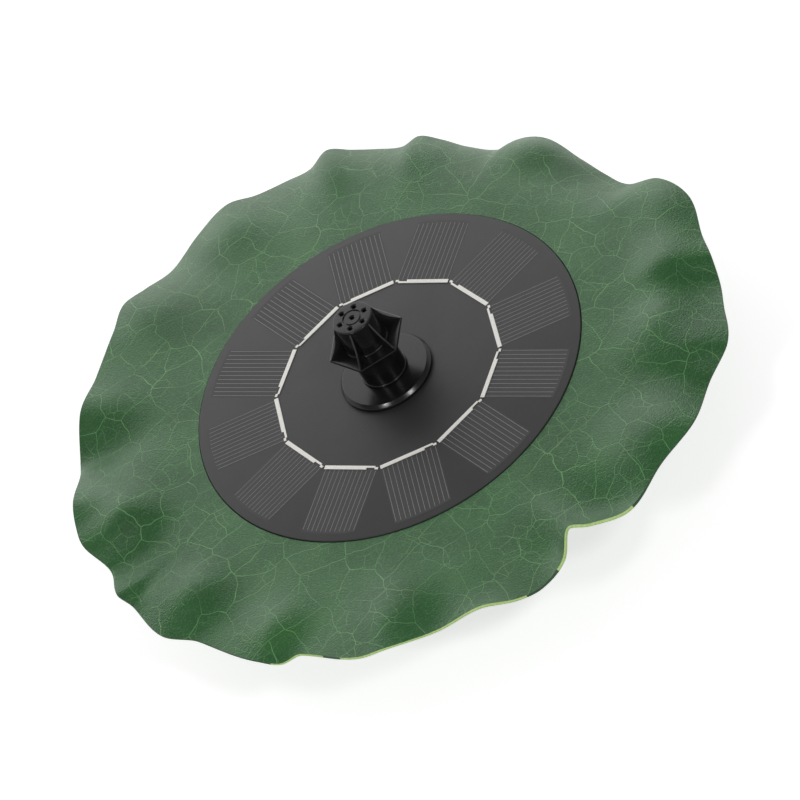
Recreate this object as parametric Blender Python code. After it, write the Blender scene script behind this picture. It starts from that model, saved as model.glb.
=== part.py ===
"""Floating solar fountain pump: a leaf float with a round solar panel, a drum pump and a spray nozzle.

All lengths are in metres. The Z axis is the pump's axis and points up, and the origin is the middle of the
flat bottom of the strainer cover. Every level and fit is worked out from the sizes below.
"""
from math import cos, pi, radians, sin, sqrt, tan, tau

import bmesh
import bpy
from mathutils import Matrix

# Clearances
FIT_GAP = 0.0003            # between pieces that seat on, or fit into, each other
LAYER_GAP = 0.00005         # between the glued layers of the solar panel
RUNNING_GAP = 0.0006        # around the turning rotor
OVERCUT = 0.0005            # how far a cutting tool reaches past the face it opens

# Fineness of the round shapes
LARGE_SEGMENTS = 72
BODY_SEGMENTS = 40
SMALL_SEGMENTS = 24
TINY_SEGMENTS = 12
SHARP_ANGLE = radians(32)
WELD_DISTANCE = 0.000001

# Foam leaf
LEAF_RADIUS = 0.134         # mean reach of the rim
LEAF_THICKNESS = 0.0020
LEAF_FLAT_RADIUS = 0.092    # flat inside this radius, rippled outside it
LEAF_HOLE_MARGIN = 0.0010   # room between the leaf's hole and the pump's lid
LEAF_LIFT_POWER = 1.6       # how the ripples grow towards the rim
LEAF_LOBE_POWER = 1.25      # how tight the valleys between the lobes are
LEAF_COLUMNS_PER_SLOPE = 3
LEAF_RINGS = 4              # rings of faces in the rippled part
# Each lobe: the valley before it, then its crest, as angle in degrees, reach past LEAF_RADIUS and lift
LEAF_LOBES = (
    ((11.2, -0.0135, -0.0060), (31.4, -0.0095, -0.0020)),
    ((44.3, -0.0130, -0.0080), (58.0, -0.0085, 0.0005)),
    ((63.4, -0.0070, -0.0040), (75.6, -0.0005, 0.0020)),
    ((83.0, 0.0005, -0.0040), (96.6, 0.0020, 0.0010)),
    ((110.0, 0.0020, -0.0040), (120.6, 0.0050, 0.0015)),
    ((133.6, 0.0030, -0.0040), (144.6, 0.0010, 0.0020)),
    ((154.0, -0.0005, -0.0040), (168.6, 0.0030, 0.0025)),
    ((180.6, -0.0040, -0.0040), (189.6, 0.0000, 0.0010)),
    ((192.2, -0.0025, -0.0010), (202.6, 0.0015, 0.0025)),
    ((207.6, -0.0065, -0.0040), (222.6, 0.0010, 0.0025)),
    ((226.6, -0.0075, -0.0040), (240.6, 0.0015, 0.0025)),
    ((247.0, -0.0035, -0.0010), (252.6, -0.0015, 0.0010)),
    ((258.8, -0.0085, -0.0030), (269.6, 0.0045, 0.0020)),
    ((280.0, -0.0155, -0.0030), (289.6, 0.0035, 0.0020)),
    ((298.6, -0.0025, -0.0020), (308.6, 0.0050, 0.0025)),
    ((314.6, -0.0005, -0.0020), (319.0, 0.0060, 0.0020)),
    ((333.6, -0.0010, -0.0030), (341.6, -0.0010, 0.0020)),
    ((347.6, -0.0030, -0.0005), (356.6, 0.0000, 0.0020)),
)

# Foam float ring
FLOAT_RADIUS = 0.070
FLOAT_HEIGHT = 0.0120
FLOAT_MARGIN = 0.0015       # room between the ring and the pump's drum
FLOAT_CHAMFER = 0.0025

# Solar panel
PANEL_RADIUS = 0.080
BOARD_THICKNESS = 0.0018
CELL_COUNT = 12
CELL_THICKNESS = 0.0002
CELL_REACH = 0.0765         # radius of the cells' round outer ends
CELL_SPACING = 0.0004       # bare strip between the inner corners of two cells
CELL_END_STEPS = 6
RIBBON_DISTANCE = 0.0455    # from the axis to the middle line of a contact ribbon
RIBBON_WIDTH = 0.0017
RIBBON_THICKNESS = 0.0002
RIBBON_MARGIN = 0.0004      # strip of cell inside the ribbon
RIBBON_JOINT_GAP = 0.00025  # from a ribbon's end to the corner between two ribbons
RIBBON_TAIL = 0.0036        # narrow end of a ribbon
RIBBON_TAB = 0.0014         # offset tab at the very end of it
RIBBON_TAB_WIDTH = 0.0010
RIBBON_TAB_OVERLAP = 0.0003  # how far the tab and the tail lie side by side

# Strainer
STRAINER_WALL = 0.0017
STRAINER_FLOOR = 0.0020
STRAINER_HEIGHT = 0.0220
STRAINER_CHAMFER = 0.0012
SLOT_COUNT = 24
SLOT_WIDTH = 0.0022
SLOT_BOTTOM = 0.0032
SLOT_HEIGHT = 0.0068
SPONGE_HEIGHT = 0.0089
SPONGE_HOLE_RADIUS = 0.0140

# Rotor and its bearings
SHAFT_RADIUS = 0.0010
CUSHION_WALL = 0.0008
CUSHION_HEIGHT = 0.0012
SLEEVE_WALL = 0.0011
MAGNET_RADIUS = 0.0072
IMPELLER_RADIUS = 0.0110
IMPELLER_PLATE = 0.0010
VANE_COUNT = 6
VANE_THICKNESS = 0.0010

# Pump casing
COVER_THICKNESS = 0.0020
HUB_WALL = 0.0008           # wall of the hub in the inlet eye
EYE_RADIUS = 0.0060
EYE_SPOKES = 3
EYE_SPOKE_ANGLE = radians(24)
NECK_WALL = 0.0017
VOLUTE_DEPTH = 0.0047
VOLUTE_GAP = 0.0024         # water space around the impeller
WELL_WALL = 0.0011
WELL_CAP = 0.0011
POCKET_FLOOR_WALL = 0.0014
DUCT_RADIUS = 0.0027
DUCT_WALL = 0.0009
BODY_WALL = 0.0035          # between the duct and the outside
CHANNEL_WIDTH = 0.0046
CHANNEL_ROOF = 0.0006       # how far the outlet channel stays under the volute's ceiling

# Motor
CORE_RADIUS = 0.0164
CORE_HEIGHT = 0.0070
YOKE_WIDTH = 0.0022
POLE_COUNT = 4
POLE_WIDTH = 0.0044
POLE_SHOE_WIDTH = 0.0064
POLE_SHOE_DEPTH = 0.0012
COIL_BUILD = 0.0016         # thickness of the winding around a pole
DRIVER_THICKNESS = 0.0010
POTTING_THICKNESS = 0.0009

# Lid, its seal and its screws
LID_THICKNESS = 0.0042
LID_CHANNEL_DEPTH = 0.0022
LID_RIM = 0.0010            # wall outside the seal's groove
SEAL_MARGIN = 0.0007        # wall between the duct and the seal's groove
SEAL_HEIGHT = 0.0010
SPIGOT_RADIUS = 0.0050
SPIGOT_BORE = 0.0032
SPIGOT_STANDOFF = 0.0020    # from the spigot's end to the flange pipe's end
SCREW_COUNT = 4
SCREW_RADIUS = 0.0011
SCREW_GRIP = 0.0070         # thread in the body
SCREW_HEAD_RADIUS = 0.0021
SCREW_HEAD_HEIGHT = 0.0014
SCREW_SINK = 0.0003         # head below the lid's top

# Leads from the panel to the motor
LEAD_RADIUS = 0.0008
LEAD_PITCH = 0.0034
GROMMET_RADIUS = 0.0021

# Flange, riser and nozzle
FLANGE_RADIUS = 0.0190
FLANGE_HEIGHT = 0.0027
FLANGE_CHAMFER = 0.0013
GASKET_WIDTH = 0.0070
GASKET_THICKNESS = 0.0009
GASKET_INSET = 0.0027       # flange rim outside the gasket
PIPE_WALL = 0.0017          # inner pipe of the flange
RING_HEIGHT = 0.0014        # sealing ring on the inner pipe
RING_DEPTH = 0.0006
RING_DROP = 0.0030          # from the inner pipe's end to the sealing ring
RISER_WALL = 0.0018
RISER_LENGTH = 0.0171
PLUG_WALL = 0.0015          # nozzle's plug in the riser
PLUG_LENGTH = 0.0065
PLUG_STANDOFF = 0.0010      # from the plug's end to the inner pipe
HEX_RADIUS = 0.0162         # axis to a corner of the nozzle's plate
HEX_THICKNESS = 0.0010
HEAD_HEIGHT = 0.0133        # nozzle above its plate
HEAD_WALL = 0.0012
HEAD_ROOF = 0.0015
HEAD_TOP_RADIUS = 0.0080
HEAD_TAPER = 0.0008         # how much wider the cone is at the plate
HEAD_EDGE = 0.0004
HEAD_TURN = radians(-3.5)   # how far the pushed-on nozzle happens to be turned
WEB_THICKNESS = 0.0009
WEB_TOP_DROP = 0.0007       # from the nozzle's top to the webs
WEB_TIP_INSET = 0.0004
WEB_HOLLOW = 0.0009         # how far the webs' edges curve in
WEB_STEPS = 5
JET_COUNT = 6
JET_RADIUS = 0.00105
JET_CIRCLE = 0.0054
GROOVE_RADIUS = 0.0036
GROOVE_WIDTH = 0.0005
GROOVE_DEPTH = 0.0003

# Radii that follow from the sizes
cushion_bore = SHAFT_RADIUS + FIT_GAP
cushion_radius = cushion_bore + CUSHION_WALL
cushion_seat = cushion_radius + FIT_GAP
sleeve_radius = cushion_bore + SLEEVE_WALL
well_radius = MAGNET_RADIUS + RUNNING_GAP
pocket_inner = well_radius + WELL_WALL
pole_tip = pocket_inner + FIT_GAP
pocket_radius = CORE_RADIUS + FIT_GAP
volute_radius = IMPELLER_RADIUS + VOLUTE_GAP
duct_distance = pocket_radius + DUCT_WALL + DUCT_RADIUS
body_radius = duct_distance + DUCT_RADIUS + BODY_WALL
strainer_bore = body_radius - STRAINER_WALL
neck_radius = strainer_bore - FIT_GAP
cover_seat = neck_radius - NECK_WALL
cover_radius = cover_seat - FIT_GAP
hub_radius = cushion_seat + HUB_WALL
screw_circle = (pocket_radius + body_radius) / 2
lead_circle = (pocket_inner + pocket_radius) / 2
groove_inner = duct_distance + DUCT_RADIUS + SEAL_MARGIN
groove_outer = body_radius - LID_RIM
pipe_bore = SPIGOT_RADIUS + FIT_GAP
pipe_radius = pipe_bore + PIPE_WALL
riser_bore = pipe_radius + FIT_GAP
riser_radius = riser_bore + RISER_WALL
plug_radius = riser_bore - FIT_GAP
plug_bore = plug_radius - PLUG_WALL
head_bore = HEAD_TOP_RADIUS - HEAD_WALL
gasket_outer = FLANGE_RADIUS - GASKET_INSET
gasket_inner = gasket_outer - GASKET_WIDTH

# Levels that follow from the sizes, from the bottom up
sponge_bottom = STRAINER_FLOOR + FIT_GAP
sponge_top = sponge_bottom + SPONGE_HEIGHT
body_bottom = sponge_top + FIT_GAP
body_shoulder = STRAINER_HEIGHT + FIT_GAP
cover_top = body_bottom + COVER_THICKNESS
lower_cushion_bottom = cover_top - CUSHION_HEIGHT + FIT_GAP
lower_cushion_top = lower_cushion_bottom + CUSHION_HEIGHT
volute_bottom = cover_top + FIT_GAP
volute_top = volute_bottom + VOLUTE_DEPTH
vane_bottom = cover_top + RUNNING_GAP
plate_top = volute_top - RUNNING_GAP
plate_bottom = plate_top - IMPELLER_PLATE
magnet_bottom = plate_top + FIT_GAP
pocket_floor = volute_top + POCKET_FLOOR_WALL
coil_bottom = pocket_floor + FIT_GAP
core_bottom = coil_bottom + COIL_BUILD + FIT_GAP
core_top = core_bottom + CORE_HEIGHT
coil_top = core_top + FIT_GAP + COIL_BUILD
driver_bottom = coil_top + FIT_GAP
driver_top = driver_bottom + DRIVER_THICKNESS
potting_bottom = driver_top + FIT_GAP
body_top = potting_bottom + POTTING_THICKNESS
cushion_roof = body_top - WELL_CAP
well_top = cushion_roof - CUSHION_HEIGHT
upper_cushion_bottom = well_top - FIT_GAP
upper_cushion_top = cushion_roof - FIT_GAP
sleeve_top = upper_cushion_bottom - FIT_GAP
magnet_top = well_top - RUNNING_GAP
lid_bottom = body_top + FIT_GAP
lid_top = lid_bottom + LID_THICKNESS
screw_seat = lid_top - SCREW_SINK - SCREW_HEAD_HEIGHT - FIT_GAP
board_bottom = lid_top + FIT_GAP
board_top = board_bottom + BOARD_THICKNESS
leaf_top = board_bottom - FIT_GAP
leaf_bottom = leaf_top - LEAF_THICKNESS
float_top = leaf_bottom - FIT_GAP
float_bottom = float_top - FLOAT_HEIGHT
cell_bottom = board_top + LAYER_GAP
cell_top = cell_bottom + CELL_THICKNESS
ribbon_bottom = cell_top + LAYER_GAP
ribbon_top = ribbon_bottom + RIBBON_THICKNESS
flange_bottom = board_top + FIT_GAP
flange_top = flange_bottom + FLANGE_HEIGHT
gasket_top = flange_bottom + GASKET_THICKNESS
riser_bottom = flange_top + FIT_GAP
riser_top = riser_bottom + RISER_LENGTH
hex_bottom = riser_top + FIT_GAP
hex_middle = hex_bottom + HEX_THICKNESS / 2
hex_top = hex_bottom + HEX_THICKNESS
head_top = hex_top + HEAD_HEIGHT
plug_bottom = riser_top - PLUG_LENGTH
pipe_top = plug_bottom - PLUG_STANDOFF
spigot_top = pipe_top - SPIGOT_STANDOFF
ring_top = pipe_top - RING_DROP
ring_bottom = ring_top - RING_HEIGHT


# Modelling helpers
def srgb(red, green, blue):
    """Linear colour of an everyday 0 to 255 colour."""
    shares = [channel / 255 for channel in (red, green, blue)]
    return [s / 12.92 if s <= 0.04045 else ((s + 0.055) / 1.055) ** 2.4 for s in shares] + [1.0]


def make_finish(name, colour, roughness, metallic=0.0):
    """A material with one Principled BSDF."""
    finish = bpy.data.materials.new(name)
    finish.use_nodes = True
    shader = finish.node_tree.nodes["Principled BSDF"]
    shader.inputs["Base Color"].default_value = colour
    shader.inputs["Roughness"].default_value = roughness
    shader.inputs["Metallic"].default_value = metallic
    return finish


def add_mesh(name, bm):
    """Turns a bmesh into a mesh that is smooth except at its sharp edges."""
    bmesh.ops.recalc_face_normals(bm, faces=bm.faces)
    mesh = bpy.data.meshes.new(name)
    bm.to_mesh(mesh)
    bm.free()
    mesh.shade_smooth()
    mesh.set_sharp_from_angle(angle=SHARP_ANGLE)
    return mesh


def add_piece(name, mesh, finish, turn=0.0):
    """A named sub-part, turned about the pump's axis."""
    piece = bpy.data.objects.new(name, mesh)
    if not mesh.materials:
        mesh.materials.append(finish)
    piece.rotation_euler.z = turn
    bpy.context.scene.collection.objects.link(piece)
    return piece


def add_tool(name, bm):
    """A hidden shape that only serves to cut or to extend a piece."""
    tool = bpy.data.objects.new(name, add_mesh(name, bm))
    tool.hide_render = True
    tool.display_type = "WIRE"
    bpy.context.scene.collection.objects.link(tool)
    return tool


def combine(piece, tool, operation):
    """Boolean of a piece with a tool."""
    change = piece.modifiers.new(tool.name, "BOOLEAN")
    change.operation = operation
    change.solver = "EXACT"
    change.object = tool


def cut(piece, bm):
    """Takes a shape away from a piece, and returns the shape's own object."""
    tool = add_tool(f"{piece.name}_cut_{len(piece.modifiers)}", bm)
    combine(piece, tool, "DIFFERENCE")
    return tool


def extend(piece, bm):
    """Joins a shape to a piece, and returns the shape's own object."""
    tool = add_tool(f"{piece.name}_part_{len(piece.modifiers)}", bm)
    combine(piece, tool, "UNION")
    return tool


def carry(axis_name, pieces, turn=0.0):
    """Parents pieces to an empty on the pump's axis, about which or along which they move."""
    axis = bpy.data.objects.new(axis_name, None)
    axis.rotation_euler.z = turn
    bpy.context.scene.collection.objects.link(axis)
    for piece in pieces:
        piece.parent = axis


def turned(profile, segments, centres=((0.0, 0.0),)):
    """Bodies of revolution from (radius, height) points; one that starts on the axis ends there too."""
    bm = bmesh.new()
    for x, y in centres:
        points = [bm.verts.new((radius, 0.0, height)) for radius, height in profile]
        edges = [bm.edges.new(pair) for pair in zip(points, points[1:])]
        if profile[0][0] > 0.0:
            edges.append(bm.edges.new((points[-1], points[0])))
        known = set(bm.verts) - set(points)
        bmesh.ops.spin(bm, geom=points + edges, cent=(0.0, 0.0, 0.0), axis=(0.0, 0.0, 1.0),
                       angle=tau, steps=segments, use_merge=True)
        fresh = [vertex for vertex in bm.verts if vertex not in known]
        bmesh.ops.translate(bm, verts=fresh, vec=(x, y, 0.0))
    bmesh.ops.remove_doubles(bm, verts=bm.verts, dist=WELD_DISTANCE)
    return bm


def rod(radius, bottom, top, segments, centres=((0.0, 0.0),)):
    """Plain round bars."""
    return turned([(0.0, bottom), (radius, bottom), (radius, top), (0.0, top)], segments, centres)


def washer(inner, outer, bottom, top, segments):
    """A plain ring."""
    return turned([(inner, bottom), (outer, bottom), (outer, top), (inner, top)], segments)


def prism(outlines, bottom, top):
    """Straight-sided bodies that stand on outlines drawn in plan."""
    bm = bmesh.new()
    for outline in outlines:
        base = bm.faces.new([bm.verts.new((x, y, bottom)) for x, y in outline])
        grown = bmesh.ops.extrude_face_region(bm, geom=[base])
        risen = [part for part in grown["geom"] if isinstance(part, bmesh.types.BMVert)]
        bmesh.ops.translate(bm, verts=risen, vec=(0.0, 0.0, top - bottom))
    return bm


def rectangle(left, right, front, back):
    """Outline of a rectangle."""
    return [(left, front), (right, front), (right, back), (left, back)]


def arc(radius, start, end, steps, centre=(0.0, 0.0)):
    """Points along an arc."""
    angles = [start + (end - start) * step / steps for step in range(steps + 1)]
    return [(centre[0] + radius * cos(a), centre[1] + radius * sin(a)) for a in angles]


def around(outline, count):
    """Copies of an outline, spread evenly about the axis."""
    turns = [tau * index / count for index in range(count)]
    return [[(x * cos(t) - y * sin(t), x * sin(t) + y * cos(t)) for x, y in outline] for t in turns]


def circle_points(radius, count, start=0.0):
    """Evenly spread points on a circle about the axis."""
    return arc(radius, start, start + tau, count)[:-1]


# Foam leaf
def leaf_rim():
    """Columns of the rim, as angle, reach and lift: round lobes between tight valleys."""
    columns = []
    following = LEAF_LOBES[1:] + LEAF_LOBES[:1]
    for (valley, crest), (next_valley, _) in zip(LEAF_LOBES, following):
        end = (next_valley[0] + (360.0 if next_valley[0] < crest[0] else 0.0),) + next_valley[1:]
        for step in range(LEAF_COLUMNS_PER_SLOPE):
            share = step / LEAF_COLUMNS_PER_SLOPE
            columns.append(leaf_rim_point(valley, crest, share))
        for step in range(LEAF_COLUMNS_PER_SLOPE):
            share = step / LEAF_COLUMNS_PER_SLOPE
            columns.append(leaf_rim_point(end, crest, 1.0 - share))
    return columns


def leaf_rim_point(valley, crest, share):
    """A point of the rim, a share of the way from a valley up to a crest."""
    rise = sin(share * pi / 2) ** LEAF_LOBE_POWER
    angle = radians(valley[0] + (crest[0] - valley[0]) * share)
    reach = LEAF_RADIUS + valley[1] + (crest[1] - valley[1]) * rise
    return angle, reach, valley[2] + (crest[2] - valley[2]) * rise


def leaf_column(angle, reach, lift):
    """Points from the leaf's hole to its rim, on the upper face."""
    points = [(body_radius + LEAF_HOLE_MARGIN, 0.0)]
    for ring in range(LEAF_RINGS + 1):
        share = ring / LEAF_RINGS
        radius = LEAF_FLAT_RADIUS + (reach - LEAF_FLAT_RADIUS) * share
        points.append((radius, lift * share ** LEAF_LIFT_POWER))
    return [(r * cos(angle), r * sin(angle), leaf_top + rise) for r, rise in points]


def make_leaf():
    bm = bmesh.new()
    loops = []
    for column in leaf_rim():
        upper = leaf_column(*column)
        lower = [(x, y, z - LEAF_THICKNESS) for x, y, z in reversed(upper)]
        loops.append([bm.verts.new(point) for point in upper + lower])
    for loop, following in zip(loops, loops[1:] + loops[:1]):
        for index in range(len(loop)):
            after = (index + 1) % len(loop)
            bm.faces.new((loop[index], loop[after], following[after], following[index]))
    foam = make_finish("leaf_foam", srgb(78, 106, 79), 0.55)
    add_piece("leaf", add_mesh("leaf", bm), foam)


def make_float_ring():
    inner = body_radius + FLOAT_MARGIN
    profile = [
        (inner, float_bottom),
        (FLOAT_RADIUS - FLOAT_CHAMFER, float_bottom),
        (FLOAT_RADIUS, float_bottom + FLOAT_CHAMFER),
        (FLOAT_RADIUS, float_top),
        (inner, float_top),
    ]
    foam = make_finish("float_foam", srgb(52, 54, 55), 0.85)
    add_piece("float_ring", add_mesh("float_ring", turned(profile, BODY_SEGMENTS)), foam)


# Solar panel
def make_panel_board():
    bm = washer(SPIGOT_RADIUS + FIT_GAP, PANEL_RADIUS, board_bottom, board_top, LARGE_SEGMENTS)
    laminate = make_finish("panel_laminate", srgb(74, 74, 75), 0.42)
    add_piece("panel_board", add_mesh("panel_board", bm), laminate)


def make_solar_cells():
    """Straight-sided cells with a round outer end, centred half a step round from the X axis."""
    half_step = pi / CELL_COUNT
    inner = RIBBON_DISTANCE - RIBBON_WIDTH / 2 - RIBBON_MARGIN
    half_width = inner * tan(half_step) - CELL_SPACING / 2
    swing = half_width / CELL_REACH
    end = arc(CELL_REACH, -swing, swing, CELL_END_STEPS)
    outline = [(inner, -half_width)] + end + [(inner, half_width)]
    mesh = add_mesh("solar_cell", prism([outline], cell_bottom, cell_top))
    silicon = make_finish("cell_silicon", srgb(70, 70, 72), 0.35)
    for index in range(CELL_COUNT):
        add_piece(f"solar_cell_{index + 1:02d}", mesh, silicon, half_step * (2 * index + 1))


def make_bus_ribbons():
    """Contact ribbons in a closed ring: a wide bar, a narrow tail inside and an offset tab at the corner."""
    half_step = pi / CELL_COUNT
    half_width = RIBBON_WIDTH / 2
    half = (RIBBON_DISTANCE - half_width) * tan(half_step) - RIBBON_JOINT_GAP
    tab_start = half - RIBBON_TAB
    bar_end = tab_start - RIBBON_TAIL
    tab_inner = -RIBBON_TAB_OVERLAP
    tab_outer = tab_inner + RIBBON_TAB_WIDTH
    sketch = [
        (-half, -half_width),
        (tab_start, -half_width),
        (tab_start, tab_inner),
        (half, tab_inner),
        (half, tab_outer),
        (tab_start, tab_outer),
        (tab_start, 0.0),
        (bar_end, 0.0),
        (bar_end, half_width),
        (-half, half_width),
    ]
    outline = [(RIBBON_DISTANCE + outward, along) for along, outward in sketch]
    mesh = add_mesh("bus_ribbon", prism([outline], ribbon_bottom, ribbon_top))
    tin = make_finish("ribbon_tin", srgb(225, 222, 215), 0.4, 0.1)
    for index in range(CELL_COUNT):
        add_piece(f"bus_ribbon_{index + 1:02d}", mesh, tin, half_step * (2 * index + 1))


# Strainer
def make_strainer(plastic):
    """Inlet cup with slots all round, and the sponge ring that stands in it."""
    profile = [
        (0.0, 0.0),
        (body_radius - STRAINER_CHAMFER, 0.0),
        (body_radius, STRAINER_CHAMFER),
        (body_radius, STRAINER_HEIGHT),
        (strainer_bore, STRAINER_HEIGHT),
        (strainer_bore, STRAINER_FLOOR),
        (0.0, STRAINER_FLOOR),
    ]
    cover = add_piece("strainer_cover", add_mesh("strainer_cover", turned(profile, BODY_SEGMENTS)), plastic)
    half_slot = SLOT_WIDTH / 2
    slot = rectangle(strainer_bore - STRAINER_WALL, body_radius + STRAINER_WALL, -half_slot, half_slot)
    cut(cover, prism(around(slot, SLOT_COUNT), SLOT_BOTTOM, SLOT_BOTTOM + SLOT_HEIGHT))

    foam = make_finish("sponge_foam", srgb(48, 50, 54), 0.95)
    ring = washer(SPONGE_HOLE_RADIUS, neck_radius, sponge_bottom, sponge_top, BODY_SEGMENTS)
    sponge = add_piece("filter_sponge", add_mesh("filter_sponge", ring), foam)
    carry("strainer_axis", [cover, sponge])


# Pump casing
def make_pump_body(plastic):
    """Drum with the volute and rotor well open below, and the stator's pocket open above."""
    profile = [
        (0.0, cushion_roof),
        (cushion_seat, cushion_roof),
        (cushion_seat, well_top),
        (well_radius, well_top),
        (well_radius, volute_top),
        (volute_radius, volute_top),
        (volute_radius, volute_bottom),
        (cover_seat, volute_bottom),
        (cover_seat, body_bottom),
        (neck_radius, body_bottom),
        (neck_radius, body_shoulder),
        (body_radius, body_shoulder),
        (body_radius, body_top),
        (pocket_radius, body_top),
        (pocket_radius, pocket_floor),
        (pocket_inner, pocket_floor),
        (pocket_inner, body_top),
        (0.0, body_top),
    ]
    body = add_piece("pump_body", add_mesh("pump_body", turned(profile, BODY_SEGMENTS)), plastic)
    channel = rectangle(volute_radius - VOLUTE_GAP, duct_distance, -CHANNEL_WIDTH / 2, CHANNEL_WIDTH / 2)
    cut(body, prism([channel], volute_bottom - OVERCUT, volute_top - CHANNEL_ROOF))
    duct_bottom = volute_bottom + CHANNEL_ROOF
    cut(body, rod(DUCT_RADIUS, duct_bottom, body_top + OVERCUT, TINY_SEGMENTS, [(duct_distance, 0.0)]))
    pilot_bottom = body_top - SCREW_GRIP - 2 * FIT_GAP
    pilot_radius = SCREW_RADIUS + FIT_GAP
    cut(body, rod(pilot_radius, pilot_bottom, body_top + OVERCUT, TINY_SEGMENTS, screw_places()))


def screw_places():
    """The lid's screws stand between the duct and its opposite side."""
    return circle_points(screw_circle, SCREW_COUNT, pi / SCREW_COUNT)


def make_impeller_cover(plastic):
    """Plate under the volute, with the inlet eye and the lower bearing's hub."""
    seat_floor = cover_top - CUSHION_HEIGHT
    profile = [
        (0.0, body_bottom),
        (cover_radius, body_bottom),
        (cover_radius, cover_top),
        (cushion_seat, cover_top),
        (cushion_seat, seat_floor),
        (0.0, seat_floor),
    ]
    cover = add_piece("impeller_cover", add_mesh("impeller_cover", turned(profile, BODY_SEGMENTS)), plastic)
    half = pi / EYE_SPOKES - EYE_SPOKE_ANGLE / 2
    steps = TINY_SEGMENTS // 2
    window = arc(EYE_RADIUS, -half, half, steps) + arc(hub_radius, half, -half, steps)
    cut(cover, prism(around(window, EYE_SPOKES), body_bottom - OVERCUT, cover_top + OVERCUT))


def make_pump_lid(plastic):
    """Lid with the water channel from the duct to the spigot in the middle."""
    groove_top = lid_bottom + SEAL_HEIGHT + FIT_GAP
    profile = [
        (SPIGOT_BORE, lid_bottom),
        (groove_inner, lid_bottom),
        (groove_inner, groove_top),
        (groove_outer, groove_top),
        (groove_outer, lid_bottom),
        (body_radius, lid_bottom),
        (body_radius, lid_top),
        (SPIGOT_RADIUS, lid_top),
        (SPIGOT_RADIUS, spigot_top),
        (SPIGOT_BORE, spigot_top),
    ]
    lid = add_piece("pump_lid", add_mesh("pump_lid", turned(profile, BODY_SEGMENTS)), plastic)
    channel_top = lid_bottom + LID_CHANNEL_DEPTH
    channel = rectangle(0.0, duct_distance, -CHANNEL_WIDTH / 2, CHANNEL_WIDTH / 2)
    cut(lid, prism([channel], lid_bottom - OVERCUT, channel_top))
    duct_end = channel_top - FIT_GAP
    cut(lid, rod(DUCT_RADIUS, lid_bottom - OVERCUT, duct_end, TINY_SEGMENTS, [(duct_distance, 0.0)]))
    hole_radius = SCREW_RADIUS + FIT_GAP
    head_room = SCREW_HEAD_RADIUS + FIT_GAP
    cut(lid, rod(hole_radius, lid_bottom - OVERCUT, lid_top + OVERCUT, TINY_SEGMENTS, screw_places()))
    cut(lid, rod(head_room, screw_seat, lid_top + OVERCUT, TINY_SEGMENTS, screw_places()))
    cut(lid, prism([grommet_outline(FIT_GAP)], lid_bottom - OVERCUT, lid_top + OVERCUT))


def make_lid_seal(rubber):
    inner = groove_inner + FIT_GAP
    outer = groove_outer - FIT_GAP
    seal = washer(inner, outer, lid_bottom, lid_bottom + SEAL_HEIGHT, BODY_SEGMENTS)
    add_piece("lid_seal", add_mesh("lid_seal", seal), rubber)


def make_lid_screws():
    head_bottom = screw_seat + FIT_GAP
    profile = [
        (0.0, body_top - SCREW_GRIP),
        (SCREW_RADIUS, body_top - SCREW_GRIP),
        (SCREW_RADIUS, head_bottom),
        (SCREW_HEAD_RADIUS, head_bottom),
        (SCREW_HEAD_RADIUS, head_bottom + SCREW_HEAD_HEIGHT),
        (0.0, head_bottom + SCREW_HEAD_HEIGHT),
    ]
    steel = make_finish("screw_steel", srgb(170, 172, 175), 0.3, 1.0)
    mesh = add_mesh("lid_screw", turned(profile, TINY_SEGMENTS, [(screw_circle, 0.0)]))
    for index in range(SCREW_COUNT):
        turn = pi / SCREW_COUNT * (2 * index + 1)
        add_piece(f"lid_screw_{index + 1}", mesh, steel, turn)


# Rotor and its bearings
def make_rotor(plastic):
    """Impeller with its sleeve, and the ring magnet on the sleeve."""
    profile = [
        (cushion_bore, lower_cushion_top + FIT_GAP),
        (sleeve_radius, lower_cushion_top + FIT_GAP),
        (sleeve_radius, plate_bottom),
        (IMPELLER_RADIUS, plate_bottom),
        (IMPELLER_RADIUS, plate_top),
        (sleeve_radius, plate_top),
        (sleeve_radius, sleeve_top),
        (cushion_bore, sleeve_top),
    ]
    impeller = add_piece("impeller", add_mesh("impeller", turned(profile, SMALL_SEGMENTS)), plastic)
    root = (cushion_bore + sleeve_radius) / 2
    vane = rectangle(root, IMPELLER_RADIUS - OVERCUT, -VANE_THICKNESS / 2, VANE_THICKNESS / 2)
    extend(impeller, prism(around(vane, VANE_COUNT), vane_bottom, (plate_bottom + plate_top) / 2))

    ferrite = make_finish("magnet_ferrite", srgb(58, 58, 60), 0.5, 0.4)
    ring = washer(sleeve_radius + FIT_GAP, MAGNET_RADIUS, magnet_bottom, magnet_top, SMALL_SEGMENTS)
    magnet = add_piece("rotor_magnet", add_mesh("rotor_magnet", ring), ferrite)
    carry("rotor_axis", [impeller, magnet])


def make_bearings(rubber):
    """Fixed shaft and the rubber cushion that holds each of its ends."""
    ceramic = make_finish("shaft_ceramic", srgb(232, 230, 224), 0.25)
    shaft = rod(SHAFT_RADIUS, lower_cushion_bottom, upper_cushion_top, TINY_SEGMENTS)
    add_piece("rotor_shaft", add_mesh("rotor_shaft", shaft), ceramic)
    lower = washer(cushion_bore, cushion_radius, lower_cushion_bottom, lower_cushion_top, SMALL_SEGMENTS)
    add_piece("lower_shaft_cushion", add_mesh("lower_shaft_cushion", lower), rubber)
    upper = washer(cushion_bore, cushion_radius, upper_cushion_bottom, upper_cushion_top, SMALL_SEGMENTS)
    add_piece("upper_shaft_cushion", add_mesh("upper_shaft_cushion", upper), rubber)


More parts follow.
